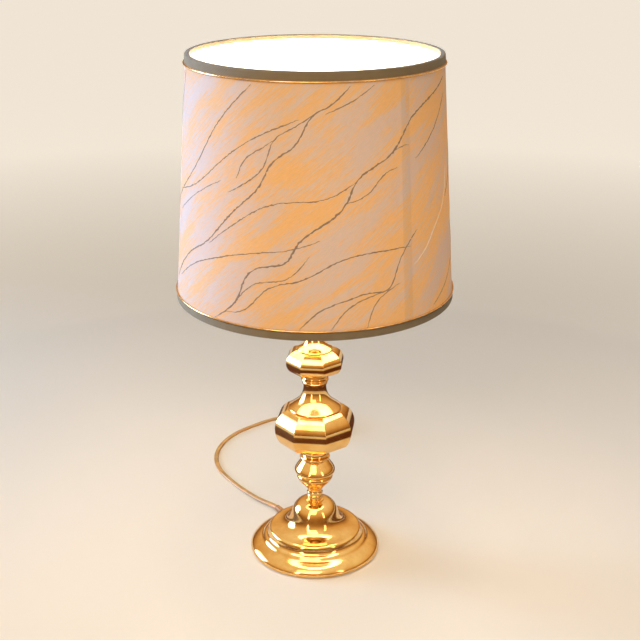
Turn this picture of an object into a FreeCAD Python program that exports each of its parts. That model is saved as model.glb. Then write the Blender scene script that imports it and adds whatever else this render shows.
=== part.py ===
import FreeCAD, Part
import math
import os

# A brass table lamp with octagonal knops and a round fabric shade, in millimetres, +Z up.
# The origin is the middle of the underside of the felt. The front of the lamp faces -Y.
# Each sub-part is written to its own file in parts/, named after the node.

os.makedirs("parts", exist_ok=True)
V = FreeCAD.Vector
UP = V(0, 0, 1)
FULL_TURN = 360.0

# Clearances shared by the whole lamp
seat_gap = 0.1  # between pieces of one assembly that are pushed together
running_gap = 0.3  # between pieces that move past each other
cut_overrun = 2.0  # how far a cutting tool runs past the face it cuts

# Foot: felt, cast weight and spun shell
felt_radius = 71.0
felt_thickness = 1.5
rim_lift = 0.8  # the shell's rim stands this far above the table
foot_radius = 75.2
foot_height = 60.8
shell_wall = 1.2
weight_radius = 60.0
weight_hub_radius = 50.0
weight_gap = 1.0  # between the weight's upper corners and the shell above them
weight_recess_radius = 16.0
weight_recess_height = 14.5
cord_slot_width = 10.0
cord_slot_height = 8.0

# Threaded tube that clamps the column together, M10 x 1, and its nut and washer
tube_radius = 5.0
tube_bore_radius = 3.75
tube_clearance = 0.15
tube_bottom_z = 9.0
tube_top_run = 10.0  # how far the tube reaches into the lampholder's cap
washer_radius = 12.0
washer_thickness = 1.4
nut_across_flats = 17.0
nut_height = 4.7

# Column of turned and cast pieces, from the bell's top upwards
bead_radius = 10.4
bead_height = 7.4
vase_radius = 20.6
vase_height = 26.4
collar_radius = 23.2
collar_height = 19.6
knop_foot_radius = 30.5
knop_foot_height = 23.5
large_knop_apothem = 43.3
large_knop_height = 40.5
large_knop_turn = -7.5  # degrees, how far its front face looks to the left
large_trumpet_radius = 29.8
large_trumpet_height = 29.0
upper_ring_radius = 21.0
upper_ring_height = 17.5
upper_knop_apothem = 30.9
upper_knop_height = 24.9
upper_knop_turn = -6.0
upper_trumpet_radius = 20.2
upper_trumpet_height = 35.6
trumpet_wall = 1.2
knop_wall = 2.2
knop_sides = 8

# Lampholder for a screw bulb with a 27 mm thread
cap_height = 16.0
cap_bottom_radius = 10.5
cap_wall = 1.2
holder_height = 50.0
holder_radius = 19.4
holder_wall = 1.5
thread_radius = 20.0
thread_height = 24.0
socket_bore_radius = 14.2
insert_height = 8.5
insert_rise = 10.5  # underside of the ceramic insert above the cap
screw_shell_bore_radius = 13.45
screw_shell_wall = 0.35
screw_shell_height = 28.0
tongue_radius = 3.0
tongue_height = 2.7
terminal_spacing = 18.0
terminal_head_radius = 1.8
terminal_head_height = 1.3
terminal_shank_radius = 1.2
terminal_shank_height = 6.0
lead_radius = 0.9

# Push-bar switch through the lampholder's wall
bar_radius = 2.0
bar_length = 54.0
bar_button_radius = 3.4
bar_button_length = 4.0
bar_travel = 6.0
bar_offset_y = -10.5
bar_rise = 5.5  # bar's axis above the lampholder's cap

# Rings that clamp the shade on the lampholder's thread
shade_ring_radius = 26.0
shade_ring_height = 5.0
shade_ring_rise = 38.0  # underside of the lower ring above the lampholder's cap
ring_chamfer = 0.8
grip_count = 24
grip_radius = 0.9

# Candle bulb with a 27 mm screw cap
bulb_radius = 17.5
bulb_height = 100.0
bulb_cap_radius = 13.1
bulb_cap_height = 21.0
bulb_thread_depth = 0.8
bulb_thread_pitch = 3.6
bulb_thread_turns = 4
bulb_cap_wall = 0.4
bulb_contact_radius = 4.8
bulb_contact_height = 1.5
bulb_insulator_height = 3.5
bulb_glass_wall = 0.8
bulb_stem_radius = 3.2
bulb_stem_height = 26.0
bulb_wire_radius = 0.45
bulb_wire_height = 18.0
filament_radius = 0.7
filament_half_width = 7.0
filament_sag = 2.1

# Shade: a cone of fabric on a white film, two wire rings, tape bands and piping
shade_height = 258.6
carrier_drop = 27.2  # the shade's lower edge below the underside of the carrier's ring
shade_top_radius = 131.9
shade_bottom_radius = 149.0
cover_thickness = 0.5
liner_thickness = 0.4
wire_ring_radius = 1.6
band_thickness = 0.5
band_height = 8.4
band_inner_height = 4.6
piping_radius = 1.0
carrier_bore_radius = 20.6
carrier_radius = 28.5
carrier_thickness = 2.0
arm_radius = 1.5
arm_count = 3
arm_start_angle = 30.0

# Flat twin flex, its sleeve at the foot, the stored coil and the plug
flex_width = 6.0
flex_thickness = 3.0
flex_gap = 0.1
flex_exit_angle = 121.0  # degrees from +X, seen from above
flex_exit_z = 5.8
flex_bend_radius = 6.0
sleeve_root_radius = 4.7
sleeve_tip_radius = 3.7
sleeve_neck_radius = 3.8
sleeve_flange_radius = 4.2
sleeve_flange_thickness = 1.2
sleeve_neck_length = 7.4  # from the flange inside the shell to the bush outside it
sleeve_length = 15.5
coil_centre = V(0, 318.0, 0)
coil_middle_radius = 35.5
coil_turn_pitch = 6.6
coil_layer_pitch = 3.8
coil_start_angle = 110.0
coil_end_angle = 90.0
coil_whole_turns = 6
coil_lead_run = 38.0
tail_run = 28.5
plug_body_length = 36.0
plug_tail_length = 20.0
plug_width = 35.0
plug_rear_width = 17.0
plug_tip_width = 9.0
plug_thickness = 13.7
plug_rear_thickness = 11.0
plug_tip_thickness = 5.6
plug_corner_share = 0.3
plug_gap = 0.4
pin_radius = 2.0
pin_length = 19.0
pin_spacing = 19.0
pin_tip_share = 0.35

# The flex's free stretch from the sleeve to the coil, point by point on the table.
# It leaves radially, comes down to the table, runs nearly straight away behind the lamp
# and swings round to the coil.
flex_lie_z = flex_thickness / 2 + flex_gap
flex_route = [
    (-58.9, 91.6, 4.9),
    (-73.2, 107.0, 2.8),
    (-92.0, 131.5, flex_lie_z),
    (-110.8, 158.0, flex_lie_z),
    (-127.0, 187.0, flex_lie_z),
    (-135.0, 222.0, flex_lie_z),
    (-131.0, 259.0, flex_lie_z),
    (-115.0, 294.0, flex_lie_z),
    (-89.0, 321.0, flex_lie_z),
]

# Outlines of the turned pieces: strokes of points (share of the radius, share of the height).
# A stroke of two points is a straight line, a longer one a smooth curve.
foot_shares = (
    (
        (0.979, 0.0),
        (0.997, 0.026),
        (1.0, 0.06),
        (0.987, 0.102),
        (0.950, 0.148),
        (0.898, 0.190),
        (0.855, 0.215),
    ),
    ((0.855, 0.215), (0.832, 0.224)),
    ((0.832, 0.224), (0.812, 0.240), (0.789, 0.273), (0.769, 0.289)),
    ((0.769, 0.289), (0.747, 0.299)),
    ((0.747, 0.299), (0.733, 0.322), (0.721, 0.359), (0.712, 0.400), (0.697, 0.436), (0.665, 0.453)),
    (
        (0.665, 0.453),
        (0.585, 0.464),
        (0.512, 0.490),
        (0.452, 0.536),
        (0.407, 0.602),
        (0.378, 0.684),
        (0.354, 0.776),
        (0.324, 0.865),
        (0.274, 0.941),
        (0.206, 0.987),
        (0.140, 1.0),
    ),
)
bead_shares = (
    ((1.0, 0.0), (1.0, 0.19)),
    ((1.0, 0.19), (0.77, 0.27)),
    ((0.77, 0.27), (0.83, 0.40), (0.86, 0.62), (0.83, 0.84), (0.75, 1.0)),
)
vase_shares = (
    ((0.39, 0.0), (0.45, 0.04)),
    ((0.45, 0.04), (0.45, 0.13)),
    ((0.45, 0.13), (0.41, 0.21), (0.52, 0.38), (0.73, 0.57), (0.91, 0.74), (0.985, 0.84)),
    ((0.985, 0.84), (1.0, 0.90), (0.95, 1.0)),
)
collar_shares = (
    ((0.845, 0.0), (0.96, 0.13), (1.0, 0.26), (0.95, 0.46), (0.82, 0.69), (0.69, 0.90), (0.62, 1.0)),
)
knop_foot_shares = (
    ((0.47, 0.0), (0.55, 0.06)),
    ((0.55, 0.06), (0.565, 0.11), (0.55, 0.16)),
    ((0.55, 0.16), (0.46, 0.24), (0.45, 0.40), (0.56, 0.62), (0.79, 0.83), (0.97, 0.955)),
    ((0.97, 0.955), (1.0, 1.0)),
)
large_trumpet_shares = (
    ((0.975, 0.0), (1.0, 0.028), (0.985, 0.06)),
    ((0.985, 0.06), (0.81, 0.20), (0.62, 0.38), (0.495, 0.59), (0.436, 0.80), (0.423, 1.0)),
)
upper_ring_shares = (
    ((0.60, 0.0), (0.667, 0.09)),
    ((0.667, 0.09), (0.667, 0.19)),
    ((0.667, 0.19), (0.63, 0.25)),
    ((0.63, 0.25), (0.73, 0.32)),
    ((0.73, 0.32), (0.745, 0.375), (0.73, 0.43)),
    ((0.73, 0.43), (0.65, 0.54), (0.69, 0.71), (0.86, 0.89), (0.98, 0.97)),
    ((0.98, 0.97), (1.0, 1.0)),
)
upper_trumpet_shares = (
    ((0.97, 0.0), (1.0, 0.02), (0.98, 0.045)),
    ((0.98, 0.045), (0.69, 0.163), (0.525, 0.326), (0.465, 0.55), (0.455, 0.78), (0.455, 1.0)),
)
cap_shares = (
    ((0.54, 0.0), (0.56, 0.10)),
    ((0.56, 0.10), (0.62, 0.30), (0.84, 0.55), (0.97, 0.80), (1.0, 1.0)),
)
bulb_shares = (
    ((0.703, 0.0), (0.703, 0.06)),
    (
        (0.703, 0.06),
        (0.82, 0.17),
        (0.96, 0.29),
        (1.0, 0.40),
        (0.93, 0.58),
        (0.72, 0.76),
        (0.42, 0.90),
        (0.16, 0.975),
        (0.0, 1.0),
    ),
)
# How high the widest line of each knop stands, and how wide its top and bottom edges are
large_knop_belt_share = 0.457
large_knop_bottom_share = 0.864
large_knop_top_share = 0.704
upper_knop_belt_share = 0.422
upper_knop_bottom_share = 0.842
upper_knop_top_share = 0.628
# How high the bulb's stem narrows, and where along an arm of the shade's carrier the slit
# for it in the folded tape begins
stem_taper_share = 0.55
slit_start_share = 0.9

# Heights of the column, each piece standing on the one below
bell_top_z = rim_lift + foot_height
bead_z = bell_top_z
vase_z = bead_z + bead_height
collar_z = vase_z + vase_height
knop_foot_z = collar_z + collar_height
large_knop_z = knop_foot_z + knop_foot_height
large_trumpet_z = large_knop_z + large_knop_height
upper_ring_z = large_trumpet_z + large_trumpet_height
upper_knop_z = upper_ring_z + upper_ring_height
upper_trumpet_z = upper_knop_z + upper_knop_height
cap_z = upper_trumpet_z + upper_trumpet_height
holder_z = cap_z + cap_height
tube_top_z = cap_z + tube_top_run
insert_z = holder_z + insert_rise
socket_floor_z = insert_z + insert_height
holder_top_z = holder_z + holder_height
thread_z = holder_top_z - thread_height
lower_ring_z = holder_z + shade_ring_rise
carrier_z = lower_ring_z + shade_ring_height + running_gap
clamp_ring_z = carrier_z + carrier_thickness + running_gap
bulb_z = socket_floor_z + tongue_height + running_gap
shade_bottom_z = carrier_z - carrier_drop
shade_top_z = shade_bottom_z + shade_height
bore_radius = tube_radius + tube_clearance
sleeve_start = foot_radius + running_gap
flex_exit_radius = sleeve_start + sleeve_length + seat_gap


def save(name, *shapes):
    """Writes one node, of one solid or of several separate ones."""
    shape = shapes[0] if len(shapes) == 1 else Part.makeCompound(list(shapes))
    shape.exportStep("parts/" + name + ".step")
    volume = sum(s.Volume for s in shapes)
    print(name, "solids", len(shape.Solids), "volume", round(volume, 1), "valid", shape.isValid())


def stroke_edge(points):
    """A straight edge through two points, or a smooth one through more."""
    if len(points) == 2:
        return Part.LineSegment(points[0], points[1]).toShape()
    curve = Part.BSplineCurve()
    curve.interpolate(points)
    return curve.toShape()


def scaled_strokes(strokes, radius, base_z, height):
    """The outline's points in the XZ plane, from its table of shares."""
    return [[V(r * radius, 0, base_z + z * height) for r, z in stroke] for stroke in strokes]


def revolve(edges):
    """Turns a closed outline of edges once round the Z axis."""
    face = Part.Face(Part.Wire(edges))
    return face.revolve(V(0, 0, 0), UP, FULL_TURN)


def closed_loop(points):
    """Straight edges round a closed outline."""
    return [Part.LineSegment(a, b).toShape() for a, b in zip(points, points[1:] + points[:1])]


def turned(strokes, radius, base_z, height, bore):
    """A solid turned piece with a straight bore."""
    outline = scaled_strokes(strokes, radius, base_z, height)
    first, last = outline[0][0], outline[-1][-1]
    inner_low, inner_high = V(bore, 0, first.z), V(bore, 0, last.z)
    edges = [stroke_edge(s) for s in outline]
    corners = [last, inner_high, inner_low, first]
    edges += [stroke_edge([start, end]) for start, end in zip(corners, corners[1:])]
    return revolve(edges)


def inset(points, wall):
    """The points moved inwards by the wall, square to the line through their neighbours."""
    moved = []
    for i, point in enumerate(points):
        before, after = points[max(i - 1, 0)], points[min(i + 1, len(points) - 1)]
        run = after.sub(before).normalize()
        moved.append(point.add(V(-run.z, 0, run.x).multiply(wall)))
    return moved


def spun(strokes, radius, base_z, height, wall, bore=0, rolled_lip=False):
    """A spun shell of even wall, open below. A bore over 0 closes the top down to that radius.

    A rolled lip is the first stroke, and the shell's inside runs straight past it.
    """
    outline = scaled_strokes(strokes, radius, base_z, height)
    points = [p for s in outline for p in (s if s is outline[0] else s[1:])]
    inner = inset(points, wall)
    first, last = points[0], points[-1]
    body_start = len(outline[0]) if rolled_lip else 1
    inner = [V(first.x - wall, 0, first.z)] + inner[body_start:]
    edges = [stroke_edge(s) for s in outline]
    if bore:
        inner[-1] = V(inner[-1].x, 0, last.z - wall)
        high, low = V(bore, 0, last.z), V(bore, 0, last.z - wall)
        edges += [stroke_edge([last, high]), stroke_edge([high, low]), stroke_edge([low, inner[-1]])]
    else:
        inner[-1] = V(last.x - wall, 0, last.z)
        edges.append(stroke_edge([last, inner[-1]]))
    edges += [stroke_edge(inner[::-1]), stroke_edge([inner[0], first])]
    return revolve(edges)


def tube(outer, inner, base_z, height, centre=V(0, 0, 0)):
    """A plain ring or tube, or a disc where inner is 0."""
    start = V(centre.x, centre.y, base_z)
    ring = Part.makeCylinder(outer, height, start)
    if inner:
        below = V(centre.x, centre.y, base_z - cut_overrun)
        ring = ring.cut(Part.makeCylinder(inner, height + 2 * cut_overrun, below))
    return ring


def rounded_ring(outer, inner, base_z, height, chamfer):
    """A ring with its two outer edges bevelled."""
    top = base_z + height
    points = [
        V(inner, 0, base_z),
        V(outer - chamfer, 0, base_z),
        V(outer, 0, base_z + chamfer),
        V(outer, 0, top - chamfer),
        V(outer - chamfer, 0, top),
        V(inner, 0, top),
    ]
    return revolve(closed_loop(points))


def bulge(low, belt, high, half):
    """The right-hand side of a knop's outline: two arcs that are upright at the belt."""
    edges = []
    for end, start in ((low, belt), (high, belt)):
        across, rise = start[0] - end[0], abs(end[1] - start[1])
        radius = (across * across + rise * rise) / (2 * across)
        half_angle = math.asin(rise / radius) / 2
        sign = 1 if end[1] > start[1] else -1
        middle_x = start[0] - radius * (1 - math.cos(half_angle))
        middle_z = start[1] + sign * radius * math.sin(half_angle)
        a = V(half * end[0], 0, end[1])
        m = V(half * middle_x, 0, middle_z)
        b = V(half * start[0], 0, start[1])
        edges.append(Part.Arc(a, m, b).toShape())
    return edges


def octagonal_body(apothem, base_z, height, belt_share, bottom_share, top_share, turn):
    """A round-sided body of eight faces: what four crossed bars of the same outline have in common."""
    top_z = base_z + height
    low = (apothem * bottom_share, base_z)
    belt = (apothem, base_z + height * belt_share)
    high = (apothem * top_share, top_z)
    edges = bulge(low, belt, high, 1) + bulge(low, belt, high, -1)
    edges.append(stroke_edge([V(low[0], 0, base_z), V(-low[0], 0, base_z)]))
    edges.append(stroke_edge([V(high[0], 0, top_z), V(-high[0], 0, top_z)]))
    outline = Part.Wire(Part.__sortEdges__(edges))
    reach = apothem * 2
    bar = Part.Face(outline).extrude(V(0, reach * 2, 0))
    bar.translate(V(0, -reach, 0))
    body = None
    for k in range(knop_sides // 2):
        turned_bar = bar.copy()
        turned_bar.rotate(V(0, 0, 0), UP, turn + k * FULL_TURN / knop_sides)
        body = turned_bar if body is None else body.common(turned_bar)
    return body.Solids[0]


def knop(apothem, base_z, height, belt_share, bottom_share, top_share, turn):
    """A hollow cast knop with a bore for the tube through both ends."""
    outside = octagonal_body(apothem, base_z, height, belt_share, bottom_share, top_share, turn)
    inside = octagonal_body(
        apothem - knop_wall,
        base_z + knop_wall,
        height - 2 * knop_wall,
        belt_share,
        bottom_share,
        top_share,
        turn,
    )
    bore = Part.makeCylinder(bore_radius, height + 2 * cut_overrun, V(0, 0, base_z - cut_overrun))
    return outside.cut(inside).cut(bore)


def flex_section(centre, along, side):
    """The flat flex's outline, square to along and wide along side: two half rounds and two flats."""
    thick = along.cross(side).normalize().multiply(flex_thickness / 2)
    flat = V(side).normalize().multiply((flex_width - flex_thickness) / 2)
    bulge_out = V(side).normalize().multiply(flex_width / 2)
    a, b = centre.add(flat).add(thick), centre.add(flat).sub(thick)
    c, d = centre.sub(flat).sub(thick), centre.sub(flat).add(thick)
    edges = [
        Part.Arc(a, centre.add(bulge_out), b).toShape(),
        Part.LineSegment(b, c).toShape(),
        Part.Arc(c, centre.sub(bulge_out), d).toShape(),
        Part.LineSegment(d, a).toShape(),
    ]
    return Part.Wire(edges)


flex_area = math.pi * (flex_thickness / 2) ** 2 + (flex_width - flex_thickness) * flex_thickness


def sweep(edges, side, upright):
    """Carries the flex's section along a path of edges and prints how its volume compares."""
    path = Part.Wire(edges)
    start, along = edges[0].valueAt(edges[0].FirstParameter), edges[0].tangentAt(edges[0].FirstParameter)
    shell = Part.BRepOffsetAPI.MakePipeShell(path)
    if upright:
        shell.setBiNormalMode(UP)
    shell.add(flex_section(start, along, side))
    shell.build()
    shell.makeSolid()
    solid = shell.shape()
    solid = solid if solid.ShapeType == "Solid" else solid.Solids[0]
    length = sum(e.Length for e in edges)
    print("flex length", round(length, 1), "volume share", round(solid.Volume / (length * flex_area), 4))
    return solid


def rounded_route(points):
    """Straight runs joined by tangent arcs, each as large as its two runs allow."""
    edges, radii = [], []
    at = points[0]
    for before, corner, after in zip(points, points[1:], points[2:]):
        come, leave = corner.sub(before), after.sub(corner)
        shorter = min(come.Length, leave.Length)
        half_turn = come.getAngle(leave) / 2
        setback = 0.45 * shorter
        radius = setback / math.tan(half_turn)
        come_dir, leave_dir = V(come).normalize(), V(leave).normalize()
        a = corner.sub(V(come_dir).multiply(setback))
        b = corner.add(V(leave_dir).multiply(setback))
        weight = math.cos(half_turn)
        middle = a.add(b).add(V(corner).multiply(2 * weight)).multiply(1 / (2 + 2 * weight))
        edges.append(Part.LineSegment(at, a).toShape())
        edges.append(Part.Arc(a, middle, b).toShape())
        radii.append(round(radius, 1))
        at = b
    edges.append(Part.LineSegment(at, points[-1]).toShape())
    print("flex radii", radii, "least", min(radii), "in widths", round(min(radii) / flex_width, 1))
    return edges


def biarc(p0, t0, p1, t1):
    """Two arcs that leave p0 along t0 and reach p1 along t1, smooth where they meet."""
    chord, both = p1.sub(p0), t0.add(t1)
    along = chord.dot(both)
    square = chord.dot(chord)
    reach = square / (2 * along)
    if t0.getAngle(t1) > 0:
        spread = 2 * (1 - t0.dot(t1))
        reach = (-along + math.sqrt(along * along + spread * square)) / spread
    q0, q1 = p0.add(V(t0).multiply(reach)), p1.sub(V(t1).multiply(reach))
    joint = q0.add(q1).multiply(1 / 2)
    arcs = []
    for a, q, b in ((p0, q0, joint), (joint, q1, p1)):
        weight = a.distanceToPoint(b) / (2 * reach)
        middle = a.add(b).add(V(q).multiply(2 * weight)).multiply(1 / (2 + 2 * weight))
        arcs.append(Part.Arc(a, middle, b).toShape())
    return arcs


# The coil: it winds clockwise, seen from above, inwards in the lower layer and outwards
# in the upper one, and climbs in the half turn where it reverses.
coil_turns = coil_whole_turns + ((coil_start_angle - coil_end_angle) % FULL_TURN) / FULL_TURN
coil_inner_radius = coil_middle_radius - coil_turn_pitch * coil_turns / 4
climb_turns = 0.5


def coil_point(turn):
    """A point of the coil's middle line after so many turns, and its direction there."""
    from_middle = turn - coil_turns / 2
    radius = coil_inner_radius + coil_turn_pitch * abs(from_middle)
    climb = min(max(from_middle / climb_turns + 0.5, 0), 1)
    climb_smooth = climb * climb * (3 - 2 * climb)
    slope = 6 * climb * (1 - climb) / climb_turns * coil_layer_pitch
    angle = math.radians(coil_start_angle - turn * FULL_TURN)
    out = V(math.cos(angle), math.sin(angle), 0)
    on = V(math.sin(angle), -math.cos(angle), 0)
    side = 0 if abs(from_middle) < climb_turns / 4 else math.copysign(coil_turn_pitch, from_middle)
    lie_z = flex_lie_z + climb_smooth * coil_layer_pitch
    point = coil_centre.add(V(out).multiply(radius)).add(V(0, 0, lie_z))
    direction = V(on).multiply(2 * math.pi * radius).add(V(out).multiply(side)).add(V(0, 0, slope))
    return point, direction.normalize()


def coil_nodes():
    """Points and directions a quarter turn apart, counted both ways from where it reverses."""
    quarters = int(coil_turns / 2 * 4)
    turns = [0] + [coil_turns / 2 + q / 4 for q in range(-quarters, quarters + 1)] + [coil_turns]
    return [coil_point(t) for t in turns]


nodes = coil_nodes()
coil_heading = nodes[0][1]
coil_entry = nodes[0][0].sub(V(coil_heading).multiply(flex_width))
lead_in = coil_entry.sub(V(coil_heading).multiply(coil_lead_run))
exit_angle = math.radians(flex_exit_angle)
exit_dir = V(math.cos(exit_angle), math.sin(exit_angle), 0)
exit_side = V(-exit_dir.y, exit_dir.x, 0)
exit_point = V(exit_dir).multiply(flex_exit_radius).add(V(0, 0, flex_exit_z))

# The tail climbs from the coil's last turn in a half circle and enters the plug from behind
coil_end, end_heading = nodes[-1]
coil_top_z = flex_lie_z + coil_layer_pitch + flex_thickness / 2
plug_axis_z = coil_top_z + plug_gap + plug_thickness / 2
tail_start = coil_end.add(V(end_heading).multiply(tail_run))
tail_radius = (tail_start.y - coil_centre.y) / 2
tail_rise = plug_axis_z - coil_end.z
tail_side = V(tail_start.x + tail_radius, tail_start.y - tail_radius, coil_end.z + tail_rise / 2)
tail_side_heading = V(0, -tail_radius, tail_rise / 2).normalize()
tail_end = V(tail_start.x, coil_centre.y, plug_axis_z)
plug_heading = V(-1, 0, 0)
plug_rear = tail_end.add(V(plug_heading).multiply(flex_width))

coil_edges = [Part.LineSegment(coil_entry, nodes[0][0]).toShape()]
for (p0, t0), (p1, t1) in zip(nodes, nodes[1:]):
    coil_edges += biarc(p0, t0, p1, t1)
coil_edges.append(Part.LineSegment(coil_end, tail_start).toShape())
coil_edges += biarc(tail_start, end_heading, tail_side, tail_side_heading)
coil_edges += biarc(tail_side, tail_side_heading, tail_end, plug_heading)
coil_edges.append(Part.LineSegment(tail_end, plug_rear).toShape())


def oval_gap(a, b):
    """The gap between two lying flat sections: each is a row of rounds as thick as the flex."""
    across = max(math.hypot(a.x - b.x, a.y - b.y) - (flex_width - flex_thickness), 0)
    return math.hypot(across, a.z - b.z) - flex_thickness


def least_coil_gap():
    """Measured between points of turns that are not neighbours along the flex."""
    samples, travelled = [], 0
    step = flex_thickness
    for edge in coil_edges:
        count = max(int(edge.Length / step), 2)
        for k in range(count):
            share = edge.FirstParameter + (edge.LastParameter - edge.FirstParameter) * k / count
            samples.append((travelled + edge.Length * k / count, edge.valueAt(share)))
        travelled += edge.Length
    apart = coil_inner_radius * 2
    gaps = [oval_gap(a, b) for i, (s, a) in enumerate(samples) for t, b in samples[i + 1 :] if t - s > apart]
    return min(gaps)


def foot_underside(radius):
    """The height of the shell's inner face above the table, at a radius."""
    outline = scaled_strokes(foot_shares, foot_radius, rim_lift, foot_height)
    points = inset([p for s in outline for p in (s if s is outline[0] else s[1:])], shell_wall)
    spans = [(a, b) for a, b in zip(points, points[1:]) if b.x <= radius <= a.x]
    outer, inner = spans[-1]
    return outer.z + (inner.z - outer.z) * (outer.x - radius) / (outer.x - inner.x)


def make_foot():
    """Felt, weight, spun shell, washer and nut."""
    save("base_felt", tube(felt_radius, 0, 0, felt_thickness))
    weight = None
    for radius in (weight_radius, weight_hub_radius):
        step = tube(radius, 0, felt_thickness, foot_underside(radius) - weight_gap - felt_thickness)
        weight = step if weight is None else weight.fuse(step).removeSplitter()
    recess_z = felt_thickness - cut_overrun
    weight = weight.cut(tube(weight_recess_radius, 0, recess_z, weight_recess_height + cut_overrun))
    weight = weight.cut(tube(bore_radius, 0, felt_thickness, foot_height))
    slot = Part.makeBox(
        weight_radius + cut_overrun,
        cord_slot_width,
        cord_slot_height + cut_overrun,
        V(0, -cord_slot_width / 2, recess_z),
    )
    slot.rotate(V(0, 0, 0), UP, flex_exit_angle)
    save("base_weight", weight.cut(slot))
    shell = spun(foot_shares, foot_radius, rim_lift, foot_height, shell_wall, bore_radius)
    hole_start = V(exit_dir).multiply(weight_radius).add(V(0, 0, flex_exit_z))
    hole_length = flex_exit_radius - weight_radius
    hole = Part.makeCylinder(sleeve_neck_radius + seat_gap, hole_length, hole_start, exit_dir)
    save("base_shell", shell.cut(hole))
    washer_z = felt_thickness + weight_recess_height - washer_thickness
    save("base_washer", tube(washer_radius, bore_radius, washer_z, washer_thickness))
    nut_radius = nut_across_flats / 2 / math.cos(math.pi / 6)
    corners = [math.radians(k * FULL_TURN / 6) for k in range(7)]
    nut_z = washer_z - nut_height
    outline = [V(nut_radius * math.cos(c), nut_radius * math.sin(c), nut_z) for c in corners]
    nut = Part.Face(Part.makePolygon(outline)).extrude(V(0, 0, nut_height))
    thread_hole = tube(tube_radius + seat_gap / 2, 0, nut_z - cut_overrun, nut_height + 2 * cut_overrun)
    save("base_nut", nut.cut(thread_hole))
    save("threaded_tube", tube(tube_radius, tube_bore_radius, tube_bottom_z, tube_top_z - tube_bottom_z))


def trumpet(shares, radius, base_z, height):
    """A spun, flared piece with a rolled lip below."""
    return spun(shares, radius, base_z, height, trumpet_wall, rolled_lip=True)


def make_column():
    """The turned, spun and cast pieces that the tube clamps together."""
    save("neck_bead", turned(bead_shares, bead_radius, bead_z, bead_height, bore_radius))
    save("lower_vase", turned(vase_shares, vase_radius, vase_z, vase_height, bore_radius))
    save("lower_collar", turned(collar_shares, collar_radius, collar_z, collar_height, bore_radius))
    save("knop_foot", turned(knop_foot_shares, knop_foot_radius, knop_foot_z, knop_foot_height, bore_radius))
    large = knop(
        large_knop_apothem,
        large_knop_z,
        large_knop_height,
        large_knop_belt_share,
        large_knop_bottom_share,
        large_knop_top_share,
        large_knop_turn,
    )
    save("large_knop", large)
    large_flare = trumpet(large_trumpet_shares, large_trumpet_radius, large_trumpet_z, large_trumpet_height)
    save("large_trumpet", large_flare)
    ring = turned(upper_ring_shares, upper_ring_radius, upper_ring_z, upper_ring_height, bore_radius)
    save("upper_ring", ring)
    upper = knop(
        upper_knop_apothem,
        upper_knop_z,
        upper_knop_height,
        upper_knop_belt_share,
        upper_knop_bottom_share,
        upper_knop_top_share,
        upper_knop_turn,
    )
    save("upper_knop", upper)
    upper_flare = trumpet(upper_trumpet_shares, upper_trumpet_radius, upper_trumpet_z, upper_trumpet_height)
    save("upper_trumpet", upper_flare)


def make_lampholder():
    """Cap, body, insert, screw shell, contact, terminals, leads and the lower shade ring."""
    cap = spun(cap_shares, holder_radius, cap_z, cap_height, cap_wall)
    save("holder_cap", cap.fuse(cap_hub()).removeSplitter())
    body = tube(holder_radius, 0, holder_z, thread_z - holder_z)
    body = body.fuse(tube(thread_radius, 0, thread_z, thread_height))
    body = body.removeSplitter()
    chamber_height = socket_floor_z - holder_z
    chamber = tube(holder_radius - holder_wall, 0, holder_z - cut_overrun, chamber_height + cut_overrun)
    body = body.cut(chamber)
    body = body.cut(tube(socket_bore_radius, 0, socket_floor_z - cut_overrun, holder_height))
    bar_z = holder_z + bar_rise
    bar_start = V(-bar_length / 2, bar_offset_y, bar_z)
    bar_hole = Part.makeCylinder(bar_radius + running_gap, bar_length, bar_start, V(1, 0, 0))
    save("holder_body", body.cut(bar_hole))
    insert = tube(holder_radius - holder_wall - seat_gap, 0, insert_z, insert_height)
    heads, leads = [], []
    for sign in (-1, 1):
        place = V(sign * terminal_spacing / 2, 0, 0)
        shank_hole = tube(terminal_shank_radius + seat_gap, 0, insert_z - cut_overrun, insert_height, place)
        insert = insert.cut(shank_hole)
        head = tube(terminal_head_radius, 0, insert_z - terminal_head_height, terminal_head_height, place)
        shank = tube(terminal_shank_radius, 0, insert_z, terminal_shank_height, place)
        heads.append(head.fuse(shank).removeSplitter())
        leads.append(core_lead(sign))
    save("holder_insert", insert)
    save("terminal_screws", *heads)
    save("core_leads", *leads)
    outer = screw_shell_bore_radius + screw_shell_wall
    save("screw_shell", tube(outer, screw_shell_bore_radius, socket_floor_z, screw_shell_height))
    save("contact_tongue", tube(tongue_radius, 0, socket_floor_z, tongue_height))
    save("lower_shade_ring", grip_ring(thread_radius + seat_gap, lower_ring_z))


def cap_hub():
    """The threaded boss inside the lampholder's cap, screwed on the tube."""
    return tube(cap_bottom_radius - cap_wall, bore_radius, cap_z, tube_top_run)


def core_lead(sign):
    """One core of the flex, from its end above the tube to its terminal."""
    start = V(sign * flex_width / 4, 0, tube_top_z + flex_gap)
    far = V(sign * terminal_spacing / 2, 0, insert_z - terminal_head_height - seat_gap)
    path = Part.Wire(biarc(start, UP, far, UP))
    section = Part.Wire(Part.makeCircle(lead_radius, start, UP))
    return path.makePipeShell([section], True, True)


def grip_ring(bore, base_z):
    """A shade ring with finger grooves round its rim."""
    ring = rounded_ring(shade_ring_radius, bore, base_z, shade_ring_height, ring_chamfer)
    grooves = []
    for k in range(grip_count):
        angle = math.radians(k * FULL_TURN / grip_count)
        centre = V(shade_ring_radius * math.cos(angle), shade_ring_radius * math.sin(angle), 0)
        groove_height = shade_ring_height + 2 * cut_overrun
        grooves.append(tube(grip_radius, 0, base_z - cut_overrun, groove_height, centre))
    return ring.cut(Part.makeCompound(grooves))


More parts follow.
